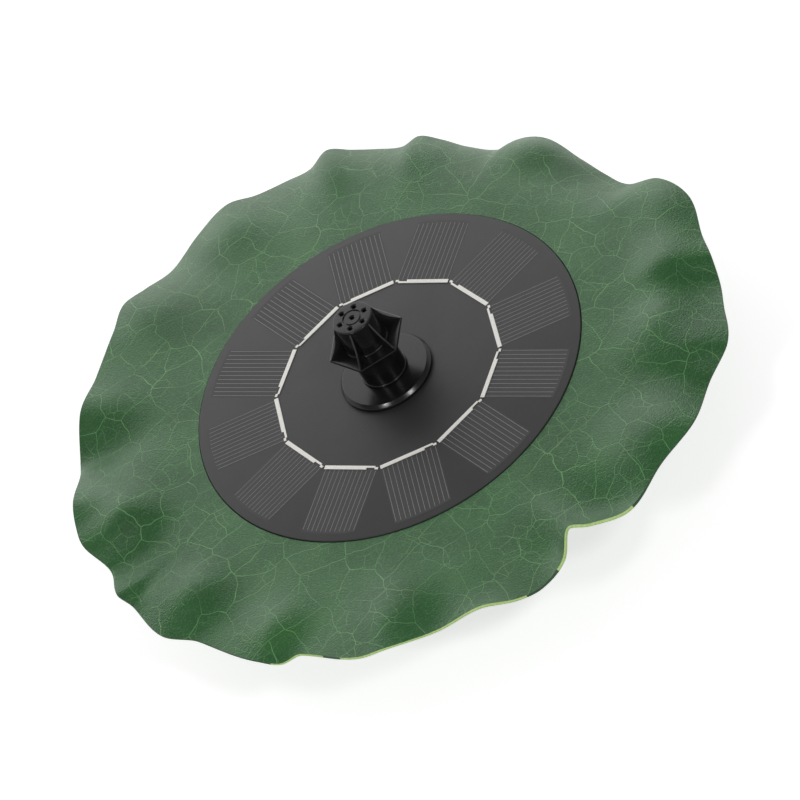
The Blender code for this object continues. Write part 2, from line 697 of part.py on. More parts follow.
# Motor
def make_stator():
    """Yoke with inward poles, and a coil around each pole."""
    yoke_bore = CORE_RADIUS - YOKE_WIDTH
    shoe_end = pole_tip + POLE_SHOE_DEPTH
    half_pole = POLE_WIDTH / 2
    half_shoe = POLE_SHOE_WIDTH / 2
    shoe_start = pole_tip / 2
    pole_end = yoke_bore + YOKE_WIDTH / 2
    pole = [
        (shoe_start, -half_shoe),
        (shoe_end, -half_shoe),
        (shoe_end, -half_pole),
        (pole_end, -half_pole),
        (pole_end, half_pole),
        (shoe_end, half_pole),
        (shoe_end, half_shoe),
        (shoe_start, half_shoe),
    ]
    steel = make_finish("core_steel", srgb(120, 122, 126), 0.45, 1.0)
    yoke = washer(yoke_bore, CORE_RADIUS, core_bottom, core_top, BODY_SEGMENTS)
    core = add_piece("stator_core", add_mesh("stator_core", yoke), steel)
    poles = extend(core, prism(around(pole, POLE_COUNT), core_bottom, core_top))
    cut(poles, rod(pole_tip, core_bottom - OVERCUT, core_top + OVERCUT, BODY_SEGMENTS))

    inner_half = half_pole + FIT_GAP
    outer_half = inner_half + COIL_BUILD
    coil_start = shoe_end + FIT_GAP
    coil_end = sqrt((yoke_bore * cos(pi / BODY_SEGMENTS) - FIT_GAP) ** 2 - outer_half ** 2)
    outer = rectangle(coil_start, coil_end, -outer_half, outer_half)
    window = rectangle(coil_start - OVERCUT, coil_end + OVERCUT, -inner_half, inner_half)
    copper = make_finish("coil_copper", srgb(176, 96, 52), 0.35, 0.8)
    mesh = add_mesh("stator_coil", prism([outer], coil_bottom, coil_top))
    for index in range(POLE_COUNT):
        turn = tau * index / POLE_COUNT
        coil = add_piece(f"stator_coil_{index + 1}", mesh, copper, turn)
        opening = prism([window], core_bottom - FIT_GAP, core_top + FIT_GAP)
        opening.transform(Matrix.Rotation(turn, 4, "Z"))
        cut(coil, opening)


def make_motor_closure():
    """Driver board over the coils, and the resin ring that seals it in."""
    green = make_finish("driver_board_green", srgb(36, 92, 56), 0.4)
    board = washer(pole_tip, CORE_RADIUS, driver_bottom, driver_top, SMALL_SEGMENTS)
    add_piece("driver_board", add_mesh("driver_board", board), green)

    resin = make_finish("potting_resin", srgb(26, 26, 28), 0.25)
    ring = washer(pole_tip, CORE_RADIUS, potting_bottom, body_top, SMALL_SEGMENTS)
    potting = add_piece("potting_ring", add_mesh("potting_ring", ring), resin)
    hole = LEAD_RADIUS + FIT_GAP
    cut(potting, rod(hole, potting_bottom - OVERCUT, body_top + OVERCUT, TINY_SEGMENTS, lead_places()))


# Leads
def lead_places():
    """Positive and negative lead, side by side on the far side from the duct."""
    return [(-lead_circle, LEAD_PITCH / 2), (-lead_circle, -LEAD_PITCH / 2)]


def grommet_outline(growth):
    """Slot shape around both leads."""
    radius = GROMMET_RADIUS + growth
    first, second = lead_places()
    half_turn = TINY_SEGMENTS // 2
    return arc(radius, 0.0, pi, half_turn, first) + arc(radius, pi, tau, half_turn, second)


def make_leads(rubber):
    colours = {"lead_positive": srgb(168, 34, 30), "lead_negative": srgb(24, 24, 26)}
    for (name, colour), place in zip(colours.items(), lead_places()):
        wire = rod(LEAD_RADIUS, potting_bottom, board_bottom - FIT_GAP, TINY_SEGMENTS, [place])
        add_piece(name, add_mesh(name, wire), make_finish(f"{name}_sleeve", colour, 0.45))
    sleeve = prism([grommet_outline(0.0)], lid_bottom, lid_top)
    grommet = add_piece("lead_grommet", add_mesh("lead_grommet", sleeve), rubber)
    hole = LEAD_RADIUS + FIT_GAP
    cut(grommet, rod(hole, lid_bottom - OVERCUT, lid_top + OVERCUT, TINY_SEGMENTS, lead_places()))


# Flange, riser and nozzle
def make_flange(plastic, rubber):
    """Flange that clamps the panel, with its gasket, inner pipe and sealing ring."""
    recess_top = gasket_top + FIT_GAP
    groove_floor = pipe_radius - RING_DEPTH - FIT_GAP
    profile = [
        (pipe_bore, flange_bottom),
        (gasket_inner - FIT_GAP, flange_bottom),
        (gasket_inner - FIT_GAP, recess_top),
        (gasket_outer + FIT_GAP, recess_top),
        (gasket_outer + FIT_GAP, flange_bottom),
        (FLANGE_RADIUS, flange_bottom),
        (FLANGE_RADIUS, flange_top - FLANGE_CHAMFER),
        (FLANGE_RADIUS - FLANGE_CHAMFER, flange_top),
        (pipe_radius, flange_top),
        (pipe_radius, ring_bottom - FIT_GAP),
        (groove_floor, ring_bottom - FIT_GAP),
        (groove_floor, ring_top + FIT_GAP),
        (pipe_radius, ring_top + FIT_GAP),
        (pipe_radius, pipe_top),
        (pipe_bore, pipe_top),
    ]
    add_piece("riser_flange", add_mesh("riser_flange", turned(profile, BODY_SEGMENTS)), plastic)
    gasket = washer(gasket_inner, gasket_outer, flange_bottom, gasket_top, BODY_SEGMENTS)
    add_piece("flange_gasket", add_mesh("flange_gasket", gasket), rubber)
    ring = washer(pipe_radius - RING_DEPTH, pipe_radius, ring_bottom, ring_top, SMALL_SEGMENTS)
    add_piece("riser_o_ring", add_mesh("riser_o_ring", ring), rubber)


def make_riser(plastic):
    pipe = washer(riser_bore, riser_radius, riser_bottom, riser_top, BODY_SEGMENTS)
    riser = add_piece("riser_pipe", add_mesh("riser_pipe", pipe), plastic)
    carry("riser_axis", [riser])


def make_nozzle(plastic):
    """Spray head: plug, six-sided plate, cone with webs to the plate's corners, and the jets in its top."""
    roof = head_top - HEAD_ROOF
    base_radius = HEAD_TOP_RADIUS + HEAD_TAPER
    groove_half = GROOVE_WIDTH / 2
    profile = [
        (0.0, roof),
        (head_bore, roof),
        (head_bore, hex_top),
        (plug_bore, hex_bottom),
        (plug_bore, plug_bottom),
        (plug_radius, plug_bottom),
        (plug_radius, hex_middle),
        (base_radius, hex_middle),
        (HEAD_TOP_RADIUS, head_top - HEAD_EDGE),
        (HEAD_TOP_RADIUS - HEAD_EDGE, head_top),
        (GROOVE_RADIUS + groove_half, head_top),
        (GROOVE_RADIUS + groove_half, head_top - GROOVE_DEPTH),
        (GROOVE_RADIUS - groove_half, head_top - GROOVE_DEPTH),
        (GROOVE_RADIUS - groove_half, head_top),
        (0.0, head_top),
    ]
    head = add_piece("nozzle_head", add_mesh("nozzle_head", turned(profile, SMALL_SEGMENTS)), plastic)
    plate = extend(head, prism([circle_points(HEX_RADIUS, JET_COUNT)], hex_bottom, hex_top))
    plate_bore = (head_bore + plug_radius) / 2
    bore = cut(plate, rod(plate_bore, hex_bottom - OVERCUT, hex_top + OVERCUT, SMALL_SEGMENTS))
    webs = extend(head, nozzle_webs())
    places = [(0.0, 0.0)] + circle_points(JET_CIRCLE, JET_COUNT)
    jets = cut(head, rod(JET_RADIUS, roof - OVERCUT, head_top + OVERCUT, TINY_SEGMENTS, places))
    carry("nozzle_axis", [head, plate, bore, webs, jets], HEAD_TURN)


def nozzle_webs():
    """Thin upright webs from the cone to the plate's corners, with slightly hollow edges."""
    tip = HEX_RADIUS - WEB_TIP_INSET
    web_top = head_top - WEB_TOP_DROP
    root = HEAD_TOP_RADIUS - HEAD_WALL / 2
    edge = []
    for step in range(WEB_STEPS + 1):
        share = step / WEB_STEPS
        hollow = WEB_HOLLOW * sin(pi * share)
        radius = tip + (HEAD_TOP_RADIUS + HEAD_EDGE - tip) * share - hollow
        edge.append((radius, hex_top + (web_top - hex_top) * share - hollow / 2))
    outline = [(root, hex_middle), (tip, hex_middle)] + edge + [(root, web_top)]
    bm = prism([outline], -WEB_THICKNESS / 2, WEB_THICKNESS / 2)
    bm.transform(Matrix.Rotation(pi / 2, 4, "X"))
    first_web = bm.verts[:] + bm.edges[:] + bm.faces[:]
    for index in range(1, JET_COUNT):
        copied = bmesh.ops.duplicate(bm, geom=first_web)["geom"]
        corners = [part for part in copied if isinstance(part, bmesh.types.BMVert)]
        turn = Matrix.Rotation(tau * index / JET_COUNT, 3, "Z")
        bmesh.ops.rotate(bm, verts=corners, cent=(0.0, 0.0, 0.0), matrix=turn)
    return bm


def build():
    for leftover in list(bpy.data.objects):
        bpy.data.objects.remove(leftover, do_unlink=True)
    black_plastic = make_finish("black_plastic", srgb(30, 30, 31), 0.38)
    grey_plastic = make_finish("rotor_plastic", srgb(196, 196, 192), 0.45)
    rubber = make_finish("black_rubber", srgb(38, 38, 40), 0.7)
    make_strainer(black_plastic)
    make_pump_body(black_plastic)
    make_impeller_cover(black_plastic)
    make_rotor(grey_plastic)
    make_bearings(rubber)
    make_stator()
    make_motor_closure()
    make_pump_lid(black_plastic)
    make_lid_seal(rubber)
    make_lid_screws()
    make_leads(rubber)
    make_float_ring()
    make_leaf()
    make_panel_board()
    make_solar_cells()
    make_bus_ribbons()
    make_flange(black_plastic, rubber)
    make_riser(black_plastic)
    make_nozzle(black_plastic)


build()
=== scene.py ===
from math import cos, pi, radians, sin, sqrt, tan, tau

import bmesh
import bpy
import numpy as np
from mathutils import Matrix, Vector, noise


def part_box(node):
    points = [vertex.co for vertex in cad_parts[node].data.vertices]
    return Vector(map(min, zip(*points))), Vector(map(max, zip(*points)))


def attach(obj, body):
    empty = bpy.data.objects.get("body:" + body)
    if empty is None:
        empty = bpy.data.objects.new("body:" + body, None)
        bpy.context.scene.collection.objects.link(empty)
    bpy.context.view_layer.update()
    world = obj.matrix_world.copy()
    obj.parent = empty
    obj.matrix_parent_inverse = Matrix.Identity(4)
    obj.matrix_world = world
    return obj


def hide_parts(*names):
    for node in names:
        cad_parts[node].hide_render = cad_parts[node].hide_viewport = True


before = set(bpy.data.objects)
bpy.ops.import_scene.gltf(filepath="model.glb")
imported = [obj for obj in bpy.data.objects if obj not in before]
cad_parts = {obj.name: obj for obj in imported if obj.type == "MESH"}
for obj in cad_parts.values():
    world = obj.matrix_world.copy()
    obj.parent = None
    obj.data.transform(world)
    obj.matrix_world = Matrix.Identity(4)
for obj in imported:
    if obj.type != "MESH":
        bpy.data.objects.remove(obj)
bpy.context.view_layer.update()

MM = 0.001
SHARP_ANGLE = radians(32)
WELD_DISTANCE = 0.001 * MM

# Camera, at the photograph's viewing angle, and its place against the panel's middle
CAMERA_TURN = radians(-2.4)
CAMERA_TILT = radians(43.98)
CAMERA_ROLL = radians(-32.46)
CAMERA_DISTANCE = 1.733
CAMERA_RIGHT = 4.86 * MM
CAMERA_DOWN = 10.16 * MM
CAMERA_LENS = 201.86
CAMERA_SENSOR = 36.0

# Foam leaf
LEAF_RADIUS = 134 * MM
LEAF_FLAT_RADIUS = 86 * MM
LEAF_HOLE_RADIUS = 27.5 * MM
LEAF_RISE = 1.9 * MM
LEAF_THICKNESS = 2 * MM
LEAF_RIM_THINNING = 0.4
LEAF_EDGE_BULGE = 0.3 * MM
LEAF_LIFT_POWER = 2.5
LEAF_COLUMNS = 540
LEAF_RINGS = 40
LEAF_EDGE_STEPS = 4
SWELL_START = 10 * MM
# Stretches of the rim's cut edge that keep the foam's bright core colour, from one angle to another, in
# degrees; elsewhere the rim's cut edge is painted dark green as shade
BRIGHT_CUTS = ((223, 232), (236, 267), (273, 288))
# Rim of the leaf, read off the photograph: angle in degrees, reach past LEAF_RADIUS and lift, in millimetres
LEAF_RIM = (
    (4, -3.5, -1), (9, -12, -4.5), (17, -12, -9), (26, -8, -12), (34, -4, -9), (39, -5.5, -8.5),
    (43, -11, -9.5), (50, -8.5, -9.5), (55, -5, -7), (59, -3, -4.5), (63, -3, -8), (68, 0, -7.5),
    (72, 3, -6), (76, 5.5, -3), (80, 4.5, -7.5), (84, 5.5, -8), (90, 6, -6), (95, 8, -2.5),
    (102, 6.5, -4), (109, 6.5, -8), (115, 6, -3), (120, 6.5, 1), (126, 1.5, 2.5), (136, -1, 2.5),
    (144, -0.5, 4.5), (152, 1, -4.5), (157, -1.5, 0), (165, -0.5, 7), (170, 1, 6), (175, 1, 5),
    (180, -3, -1.5), (187, 0.5, 1), (190, -1, -2), (200, 1.5, -1), (207, -3, -1), (221, 1, 2),
    (225, 0.5, 0.5), (228, -3.5, 1), (239, 3, 4), (244, 2.5, 5), (252, -2.5, 0), (260, -1, 4),
    (266, 4, 3), (270, 4.5, 2), (275, 1.5, 4), (279, -7, 6.5), (282, -2.5, 5), (288, 3.5, 2),
    (297, 2.5, 3), (305, 6, 4), (315, 1, -3), (321, 6.5, 1.5), (330, 2, -1.5), (337, 0, -4),
    (341, -0.5, 0), (347, -1.5, -0.5), (356, 1, 0),
)
# Swells and dents inside the rim: angle in degrees, then place past LEAF_RADIUS, half width,
# half length and height, in millimetres
LEAF_SWELLS = (
    (14, -14, 14, 14, -3), (30, -14, 20, 12, 5.5), (56, -15, 22, 16, 3.5), (76, -8, 16, 18, 4),
    (98, -8, 18, 20, 4), (120, -8, 18, 20, 3), (141, -12, 14, 16, 1), (153, -14, 12, 16, -2),
    (172, -19, 14, 11, 5), (183, -16, 12, 14, -2), (201, -16, 18, 14, 5), (208, -14, 12, 14, -2),
    (223, -12, 16, 14, 3.5), (228, -10, 10, 12, -2), (246, -14, 16, 16, 3), (252, -4, 10, 16, -4),
    (261, -4, 8, 16, -3), (276, -4, 9, 14, -4), (286, -2, 13, 20, -7), (301, -6, 20, 18, 5),
    (321, -6, 12, 12, 2.5), (327, -22, 14, 12, 4), (336, -6, 12, 12, -1.5), (342, -18, 16, 12, 4.5),
    (358, -6, 14, 10, 2.5),
)
# Leaf finishes: printed top, bright cut core, dark green painted shade on the outer cut edge, and the
# underside
LEAF_FINISHES = ("leaf_foam", "leaf_cut", "leaf_edge_painted_shade", "leaf_back")

# Solar panel
FIT_GAP = 0.3 * MM
PANEL_HOLE_RADIUS = 5.3 * MM
PANEL_EDGE = 0.35 * MM
FILM_DROP = 0.02 * MM
CELL_COUNT = 12
FINGER_COUNT = 12
FINGER_PITCH = 2 * MM
FINGER_WIDTH = 0.16 * MM
FINGER_HEIGHT = 0.03 * MM
FINGER_START = 46.4 * MM
FINGER_REACH = 75.5 * MM

# Flange and riser
FLANGE_CHAMFER = 1.3 * MM
FLANGE_ROUNDING = 0.35 * MM
GASKET_RECESS = (9.0 * MM, 16.6 * MM, 1.2 * MM)
PIPE_BORE = 5.3 * MM
PIPE_RADIUS = 7.0 * MM
RISER_BORE = 7.3 * MM
BEAD_RADIUS = 0.45 * MM
EDGE_ROUNDING = 0.25 * MM

# Nozzle
HEX_RADIUS = 16.2 * MM
HEX_THICKNESS = 1.0 * MM
HEX_EDGE = 0.3 * MM
CONE_BASE_RADIUS = 8.8 * MM
CONE_TOP_RADIUS = 8.0 * MM
CONE_EDGE = 0.4 * MM
HEAD_WALL = 1.2 * MM
HEAD_ROOF = 1.5 * MM
PLUG_RADIUS = 7.0 * MM
PLUG_BORE = 5.5 * MM
HEAD_TURN = radians(-3.5)
WEB_COUNT = 6
WEB_THICKNESS = 0.9 * MM
WEB_EDGE = 0.3 * MM
WEB_TOP_DROP = 0.7 * MM
WEB_TIP_INSET = 0.4 * MM
WEB_HOLLOW = 0.9 * MM
WEB_STEPS = 10
JET_RADIUS = 1.3 * MM
JET_BORE = 0.8 * MM
JET_DEPTH = 0.35 * MM
JET_CIRCLE = 5.4 * MM
GROOVE_RADIUS = 3.6 * MM
GROOVE_WIDTH = 0.7 * MM
GROOVE_DEPTH = 0.5 * MM

# Strainer, sponge and float ring
STRAINER_WALL = 1.7 * MM
STRAINER_FLOOR = 2.0 * MM
STRAINER_FOOT = 1.2 * MM
SLOT_COUNT = 24
SLOT_WIDTH = 2.2 * MM
SLOT_BOTTOM = 3.2 * MM
SLOT_HEIGHT = 6.8 * MM
SLOT_END_STEPS = 8
SPONGE_HOLE_RADIUS = 14 * MM
SPONGE_ROUGHNESS = 0.4 * MM
SPONGE_CHAMFER = 0.625 * MM
SPONGE_ROWS = 4
FLOAT_INNER_RADIUS = 28 * MM
FLOAT_CHAMFER = 2.5 * MM
FLOAT_ROUGHNESS = 0.12 * MM
FLOAT_ROWS = 5
FOAM_PORE = 0.5 * MM
FOAM_SMALL_CHAMFER = 0.25

# Fineness of the round shapes
LARGE_SEGMENTS = 240
ROUND_SEGMENTS = 96
SMALL_SEGMENTS = 24
FILLET_STEPS = 5
BEVEL_STEPS = 2
CUT_MARGIN = 1 * MM
BEAD_FILLET = 0.9 * BEAD_RADIUS
LEAF_ANGLES = np.arange(LEAF_COLUMNS) * 360.0 / LEAF_COLUMNS

# Print and skin of the leaf; vein widths are shares of a vein's cell
LEAF_CLOUDS = 26 * MM
LEAF_GREENS = ((0.30, (28, 82, 34)), (0.55, (36, 94, 42)), (0.75, (46, 104, 46)))
LEAF_ROUGHNESS = (0.46, 0.38)
SPECKLE_SIZE = 0.6 * MM
SPECKLE_RANGE = (0.45, 0.75)
SPECKLE_SHARE = 0.35
SPECKLE_COLOUR = (84, 138, 78)
SKIN_GRAIN = 0.7 * MM
SKIN_DEPTH = 0.3 * MM
VEIN_CELL = 14 * MM
VEIN_WIDTHS = (0.005, 0.015)
VEIN_WIDTH_CLOUDS = 20 * MM
VEIN_SOFT_EDGE = 0.2
VEIN_COLOUR = (112, 170, 104)
VEIN_SHARE = 0.75
SIDE_VEIN_CELL = 6 * MM
SIDE_VEIN_FADE = (0.005, 0.03)
SIDE_VEIN_CLOUDS = 12 * MM
SIDE_VEIN_RANGE = (0.44, 0.60)
SIDE_VEIN_SHARE = 0.6
WANDER_SCALE = 60.0
WANDER_REACH = 9 * MM
CUT_COLOURS = ((0.3, (186, 226, 128)), (0.7, (220, 246, 172)))
CUT_ROUGHNESS = 0.7
CUT_GRAIN = 0.8 * MM
CUT_DEPTH = 0.1 * MM

# Film and silicon of the panel
FILM_CLOUDS = 12 * MM
FILM_COLOURS = ((0.3, (38, 38, 39)), (0.7, (42, 42, 43)))
FILM_ROUGHNESS = (0.47, 0.53)
FLAKE_SIZE = 5 * MM
FLAKE_COLOURS = ((0.0, (40, 40, 41)), (1.0, (44, 44, 45)))
FLAKE_ROUGHNESS = (0.46, 0.52)
PANEL_GRAIN = 0.5 * MM
PANEL_GRAIN_DEPTH = 0.015 * MM

# Moulded and cast finishes: name, dark and light colour, grain and its depth in millimetres, roughness,
# metallic share and specular level
MOULDED = (
    # The leaf's rim finish in the next row is dark green painted as shade on the cut edge, not the foam's own
    # colour (that is leaf_cut)
    ("leaf_edge_painted_shade", (32, 66, 33), (42, 80, 42), 0.7, 0.08, 0.6, 0.0, 0.5),
    ("leaf_back", (52, 104, 50), (64, 118, 58), 0.7, 0.08, 0.6, 0.0, 0.5),
    ("black_plastic", (18, 18, 19), (24, 24, 25), 0.35, 0.006, 0.21, 0.0, 0.38),
    ("rotor_plastic", (186, 186, 181), (204, 204, 200), 0.4, 0.01, 0.42, 0.0, 0.5),
    ("black_rubber", (32, 32, 34), (42, 42, 44), 0.4, 0.02, 0.7, 0.0, 0.5),
    ("magnet_ferrite", (50, 50, 52), (66, 66, 68), 0.3, 0.015, 0.5, 0.4, 0.5),
    ("shaft_ceramic", (226, 223, 216), (236, 234, 229), 0.3, 0.002, 0.22, 0.0, 0.5),
    ("driver_board_green", (30, 84, 50), (42, 100, 62), 0.5, 0.01, 0.4, 0.0, 0.5),
    ("potting_resin", (22, 22, 24), (30, 30, 32), 0.8, 0.01, 0.22, 0.0, 0.5),
    ("lead_positive_sleeve", (156, 28, 24), (178, 40, 34), 0.3, 0.005, 0.42, 0.0, 0.5),
    ("lead_negative_sleeve", (20, 20, 22), (28, 28, 30), 0.3, 0.005, 0.42, 0.0, 0.5),
)
MOULDED_CLOUDS = 18
MOULDED_CLOUD_RANGE = (0.35, 0.65)
MOULDED_GLOSS_CHANGE = 0.05
# Drawn metals: name, dark and light colour, size of the lines in millimetres, roughness and metallic share
DRAWN = (
    ("ribbon_tin", (232, 229, 222), (248, 246, 241), 0.4, 0.45, 0.1),
    ("finger_silver", (128, 128, 127), (148, 148, 146), 0.3, 0.5, 0.2),
    ("screw_steel", (150, 152, 155), (188, 190, 193), 0.3, 0.3, 1.0),
)
DRAWN_GLOSS_CHANGE = 0.06
DRAWN_DEPTH_SHARE = 0.05
# Stacked or wound metals: name, dark and light colour, pitch in millimetres, roughness and metallic share
LAYERED = (
    ("core_steel", (78, 80, 84), (140, 142, 146), 0.5, 0.35, 1.0),
    ("coil_copper", (110, 52, 26), (190, 106, 58), 0.35, 0.3, 0.9),
)
LAYER_COLOUR_RANGE = (0.1, 0.6)
LAYER_GLOSS_CHANGE = 0.1
LAYER_DEPTH_SHARE = 0.2
LAYER_DISTORTION = 0.4
WAVE_LENGTH = 0.314
# Open foams: name, pore and skin colour, pore size and depth in millimetres; the darker pore colour is
# painted shade in the pores
POROUS = (
    ("float_foam", (38, 39, 40), (58, 60, 61), 0.9, 0.08),
    ("sponge_foam", (20, 21, 23), (62, 65, 70), 1.1, 0.5),
)
PORE_RANGE = (0.15, 0.5)
PORE_ROUGHNESS = 0.9
# Most of a noise pattern lies in this range
NOISE_RANGE = (0.3, 0.7)
WHITE = (1.0, 1.0, 1.0, 1.0)

# Studio
FLOOR_RADIUS = 5.0
COVE_RADIUS = 1.0
WALL_HEIGHT = 2.6
COVE_STEPS = 10
FLOOR_GLOW = 0.72
FLOOR_COLOUR = (0.6, 0.6, 0.6, 1.0)
FLOOR_ROUGHNESS = 0.9
WORLD_LEVEL = 0.22
BACK_LIGHT_PLACE = (0.0, 1.30, 0.70)
BACK_LIGHT_SIZE = (2.2, 1.3)
BACK_LIGHT_POWER = 15.0
FRONT_LIGHT_PLACES = ((-0.95, -0.85, 1.31), (0.47, -1.18, 1.31))
FRONT_LIGHT_SIZE = (0.25, 0.25)
FRONT_LIGHT_POWER = 6.5

# Levels and radii read from the frame
board_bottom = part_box("panel_board")[0].z
board_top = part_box("panel_board")[1].z
panel_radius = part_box("panel_board")[1].x
cell_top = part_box("solar_cell_01")[1].z
film_top = cell_top - FILM_DROP
leaf_top = board_bottom - FIT_GAP
flange_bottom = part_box("riser_flange")[0].z
flange_pipe_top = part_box("riser_flange")[1].z
flange_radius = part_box("riser_flange")[1].x
riser_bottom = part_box("riser_pipe")[0].z
riser_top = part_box("riser_pipe")[1].z
riser_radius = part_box("riser_pipe")[1].x
flange_top = riser_bottom - FIT_GAP
plug_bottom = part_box("nozzle_head")[0].z
head_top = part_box("nozzle_head")[1].z
hex_bottom = riser_top + FIT_GAP
hex_top = hex_bottom + HEX_THICKNESS
strainer_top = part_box("strainer_cover")[1].z
strainer_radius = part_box("strainer_cover")[1].x
sponge_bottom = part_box("filter_sponge")[0].z
sponge_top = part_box("filter_sponge")[1].z
sponge_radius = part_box("filter_sponge")[1].x
float_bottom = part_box("float_ring")[0].z
float_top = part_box("float_ring")[1].z
float_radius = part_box("float_ring")[1].x


# Finishes
def srgb(red, green, blue):
    """Linear colour of an everyday 0 to 255 colour."""
    shares = [channel / 255 for channel in (red, green, blue)]
    return [s / 12.92 if s <= 0.04045 else ((s + 0.055) / 1.055) ** 2.4 for s in shares] + [1.0]


class Finish:
    """A material of texture nodes that are laid out in the piece's own metres."""

    def __init__(self, name, **constants):
        self.material = bpy.data.materials.new(name)
        self.material.use_nodes = True
        self.tree = self.material.node_tree
        self.shader = self.tree.nodes["Principled BSDF"]
        self.place = self.add("ShaderNodeTexCoord").outputs["Object"]
        for socket, value in constants.items():
            self.shader.inputs[socket.replace("_", " ")].default_value = value

    def add(self, kind, inputs=None, **settings):
        """A node, with inputs given as numbers, colours or outputs of other nodes."""
        node = self.tree.nodes.new(kind)
        for setting, value in settings.items():
            setattr(node, setting, value)
        for key, value in (inputs or {}).items():
            if isinstance(value, bpy.types.NodeSocket):
                self.tree.links.new(value, node.inputs[key])
            else:
                node.inputs[key].default_value = value
        return node

    def paint(self, socket, output):
        """Lets an output set one of the shader's sockets."""
        self.tree.links.new(output, self.shader.inputs[socket])

    def noise(self, size, detail=2.0):
        """Cloudy noise with lumps of the given size."""
        inputs = {"Vector": self.place, "Scale": 1 / size, "Detail": detail}
        return self.add("ShaderNodeTexNoise", inputs).outputs[0]

    def cells(self, place, size, feature="DISTANCE_TO_EDGE", dimensions="2D"):
        """Irregular cells of the given size: distance to their edges, or to their middles."""
        inputs = {"Vector": place, "Scale": 1 / size}
        return self.add("ShaderNodeTexVoronoi", inputs, feature=feature,
                        voronoi_dimensions=dimensions).outputs["Distance"]

    def maths(self, operation, first, second=0.0):
        """Arithmetic on two values."""
        return self.add("ShaderNodeMath", {0: first, 1: second}, operation=operation).outputs[0]

    def vectors(self, operation, inputs):
        """Arithmetic on vectors."""
        return self.add("ShaderNodeVectorMath", inputs, operation=operation).outputs[0]

    def wander(self, scale, reach):
        """The place on the piece, shifted about by noise."""
        drift = self.add("ShaderNodeTexNoise", {"Vector": self.place, "Scale": scale, "Detail": 2.0})
        offset = self.vectors("SUBTRACT", {0: drift.outputs["Color"], 1: (0.5, 0.5, 0.5)})
        bend = self.vectors("SCALE", {0: offset, "Scale": reach})
        return self.vectors("ADD", {0: self.place, 1: bend})

    def spread(self, value, low, high, to_low=0.0, to_high=1.0):
        """A value's range, stretched smoothly to another range."""
        inputs = {"Value": value, "From Min": low, "From Max": high, "To Min": to_low, "To Max": to_high}
        return self.add("ShaderNodeMapRange", inputs, interpolation_type="SMOOTHSTEP").outputs["Result"]

    def ramp(self, value, *stops):
        """Colours along a value, from stops of position and 0 to 255 colour."""
        node = self.add("ShaderNodeValToRGB", {"Fac": value})
        elements = node.color_ramp.elements
        elements.remove(elements[1])
        elements[0].position = stops[0][0]
        elements[0].color = srgb(*stops[0][1])
        for position, colour in stops[1:]:
            elements.new(position).color = srgb(*colour)
        return node.outputs["Color"]

    def mix(self, share, first, second):
        """A colour between two colours."""
        inputs = {0: share, 6: first, 7: second}
        return self.add("ShaderNodeMix", inputs, data_type="RGBA").outputs[2]

    def emboss(self, height, depth):
        """Surface relief of a real depth."""
        node = self.add("ShaderNodeBump", {"Height": height, "Distance": depth})
        self.paint("Normal", node.outputs["Normal"])


def leaf_print():
    """Printed foam: mottled green, a network of light veins and the grain of the foam's skin."""
    finish = Finish("leaf_print")
    place = finish.wander(WANDER_SCALE, WANDER_REACH)
    width = finish.spread(finish.noise(VEIN_WIDTH_CLOUDS), *NOISE_RANGE, *VEIN_WIDTHS)
    main = finish.maths("DIVIDE", finish.cells(place, VEIN_CELL), width)
    main = finish.spread(main, VEIN_SOFT_EDGE, 1.0, 1.0, 0.0)
    side = finish.spread(finish.cells(place, SIDE_VEIN_CELL), *SIDE_VEIN_FADE, 1.0, 0.0)
    shown = finish.spread(finish.noise(SIDE_VEIN_CLOUDS), *SIDE_VEIN_RANGE, 0.0, SIDE_VEIN_SHARE)
    veins = finish.maths("MAXIMUM", main, finish.maths("MULTIPLY", side, shown))

    clouds = finish.noise(LEAF_CLOUDS, 4.0)
    green = finish.ramp(clouds, *LEAF_GREENS)
    speckle = finish.spread(finish.noise(SPECKLE_SIZE, 1.0), *SPECKLE_RANGE, 0.0, SPECKLE_SHARE)
    skin = finish.mix(speckle, green, srgb(*SPECKLE_COLOUR))
    vein_share = finish.maths("MULTIPLY", veins, VEIN_SHARE)
    finish.paint("Base Color", finish.mix(vein_share, skin, srgb(*VEIN_COLOUR)))
    finish.paint("Roughness", finish.spread(clouds, *NOISE_RANGE, *LEAF_ROUGHNESS))
    finish.emboss(finish.noise(SKIN_GRAIN, 1.0), SKIN_DEPTH)
    return finish.material


def leaf_cut():
    """Bright core of the foam at its cut edge."""
    finish = Finish("leaf_cut", Roughness=CUT_ROUGHNESS)
    grain = finish.noise(CUT_GRAIN)
    finish.paint("Base Color", finish.ramp(grain, *CUT_COLOURS))
    finish.emboss(grain, CUT_DEPTH)
    return finish.material


def panel_laminate():
    """Dark satin film over the panel's board."""
    finish = Finish("panel_laminate")
    fine = finish.noise(PANEL_GRAIN, 1.0)
    finish.paint("Base Color", finish.ramp(finish.noise(FILM_CLOUDS, 3.0), *FILM_COLOURS))
    finish.paint("Roughness", finish.spread(fine, *NOISE_RANGE, *FILM_ROUGHNESS))
    finish.emboss(fine, PANEL_GRAIN_DEPTH)
    return finish.material


def cell_silicon():
    """Silicon under the film: a little lighter, with faint crystal flakes."""
    finish = Finish("cell_silicon")
    fine = finish.noise(PANEL_GRAIN, 1.0)
    flakes = finish.cells(finish.place, FLAKE_SIZE, "F1", "3D")
    finish.paint("Base Color", finish.ramp(flakes, *FLAKE_COLOURS))
    finish.paint("Roughness", finish.spread(fine, *NOISE_RANGE, *FLAKE_ROUGHNESS))
    finish.emboss(fine, PANEL_GRAIN_DEPTH)
    return finish.material


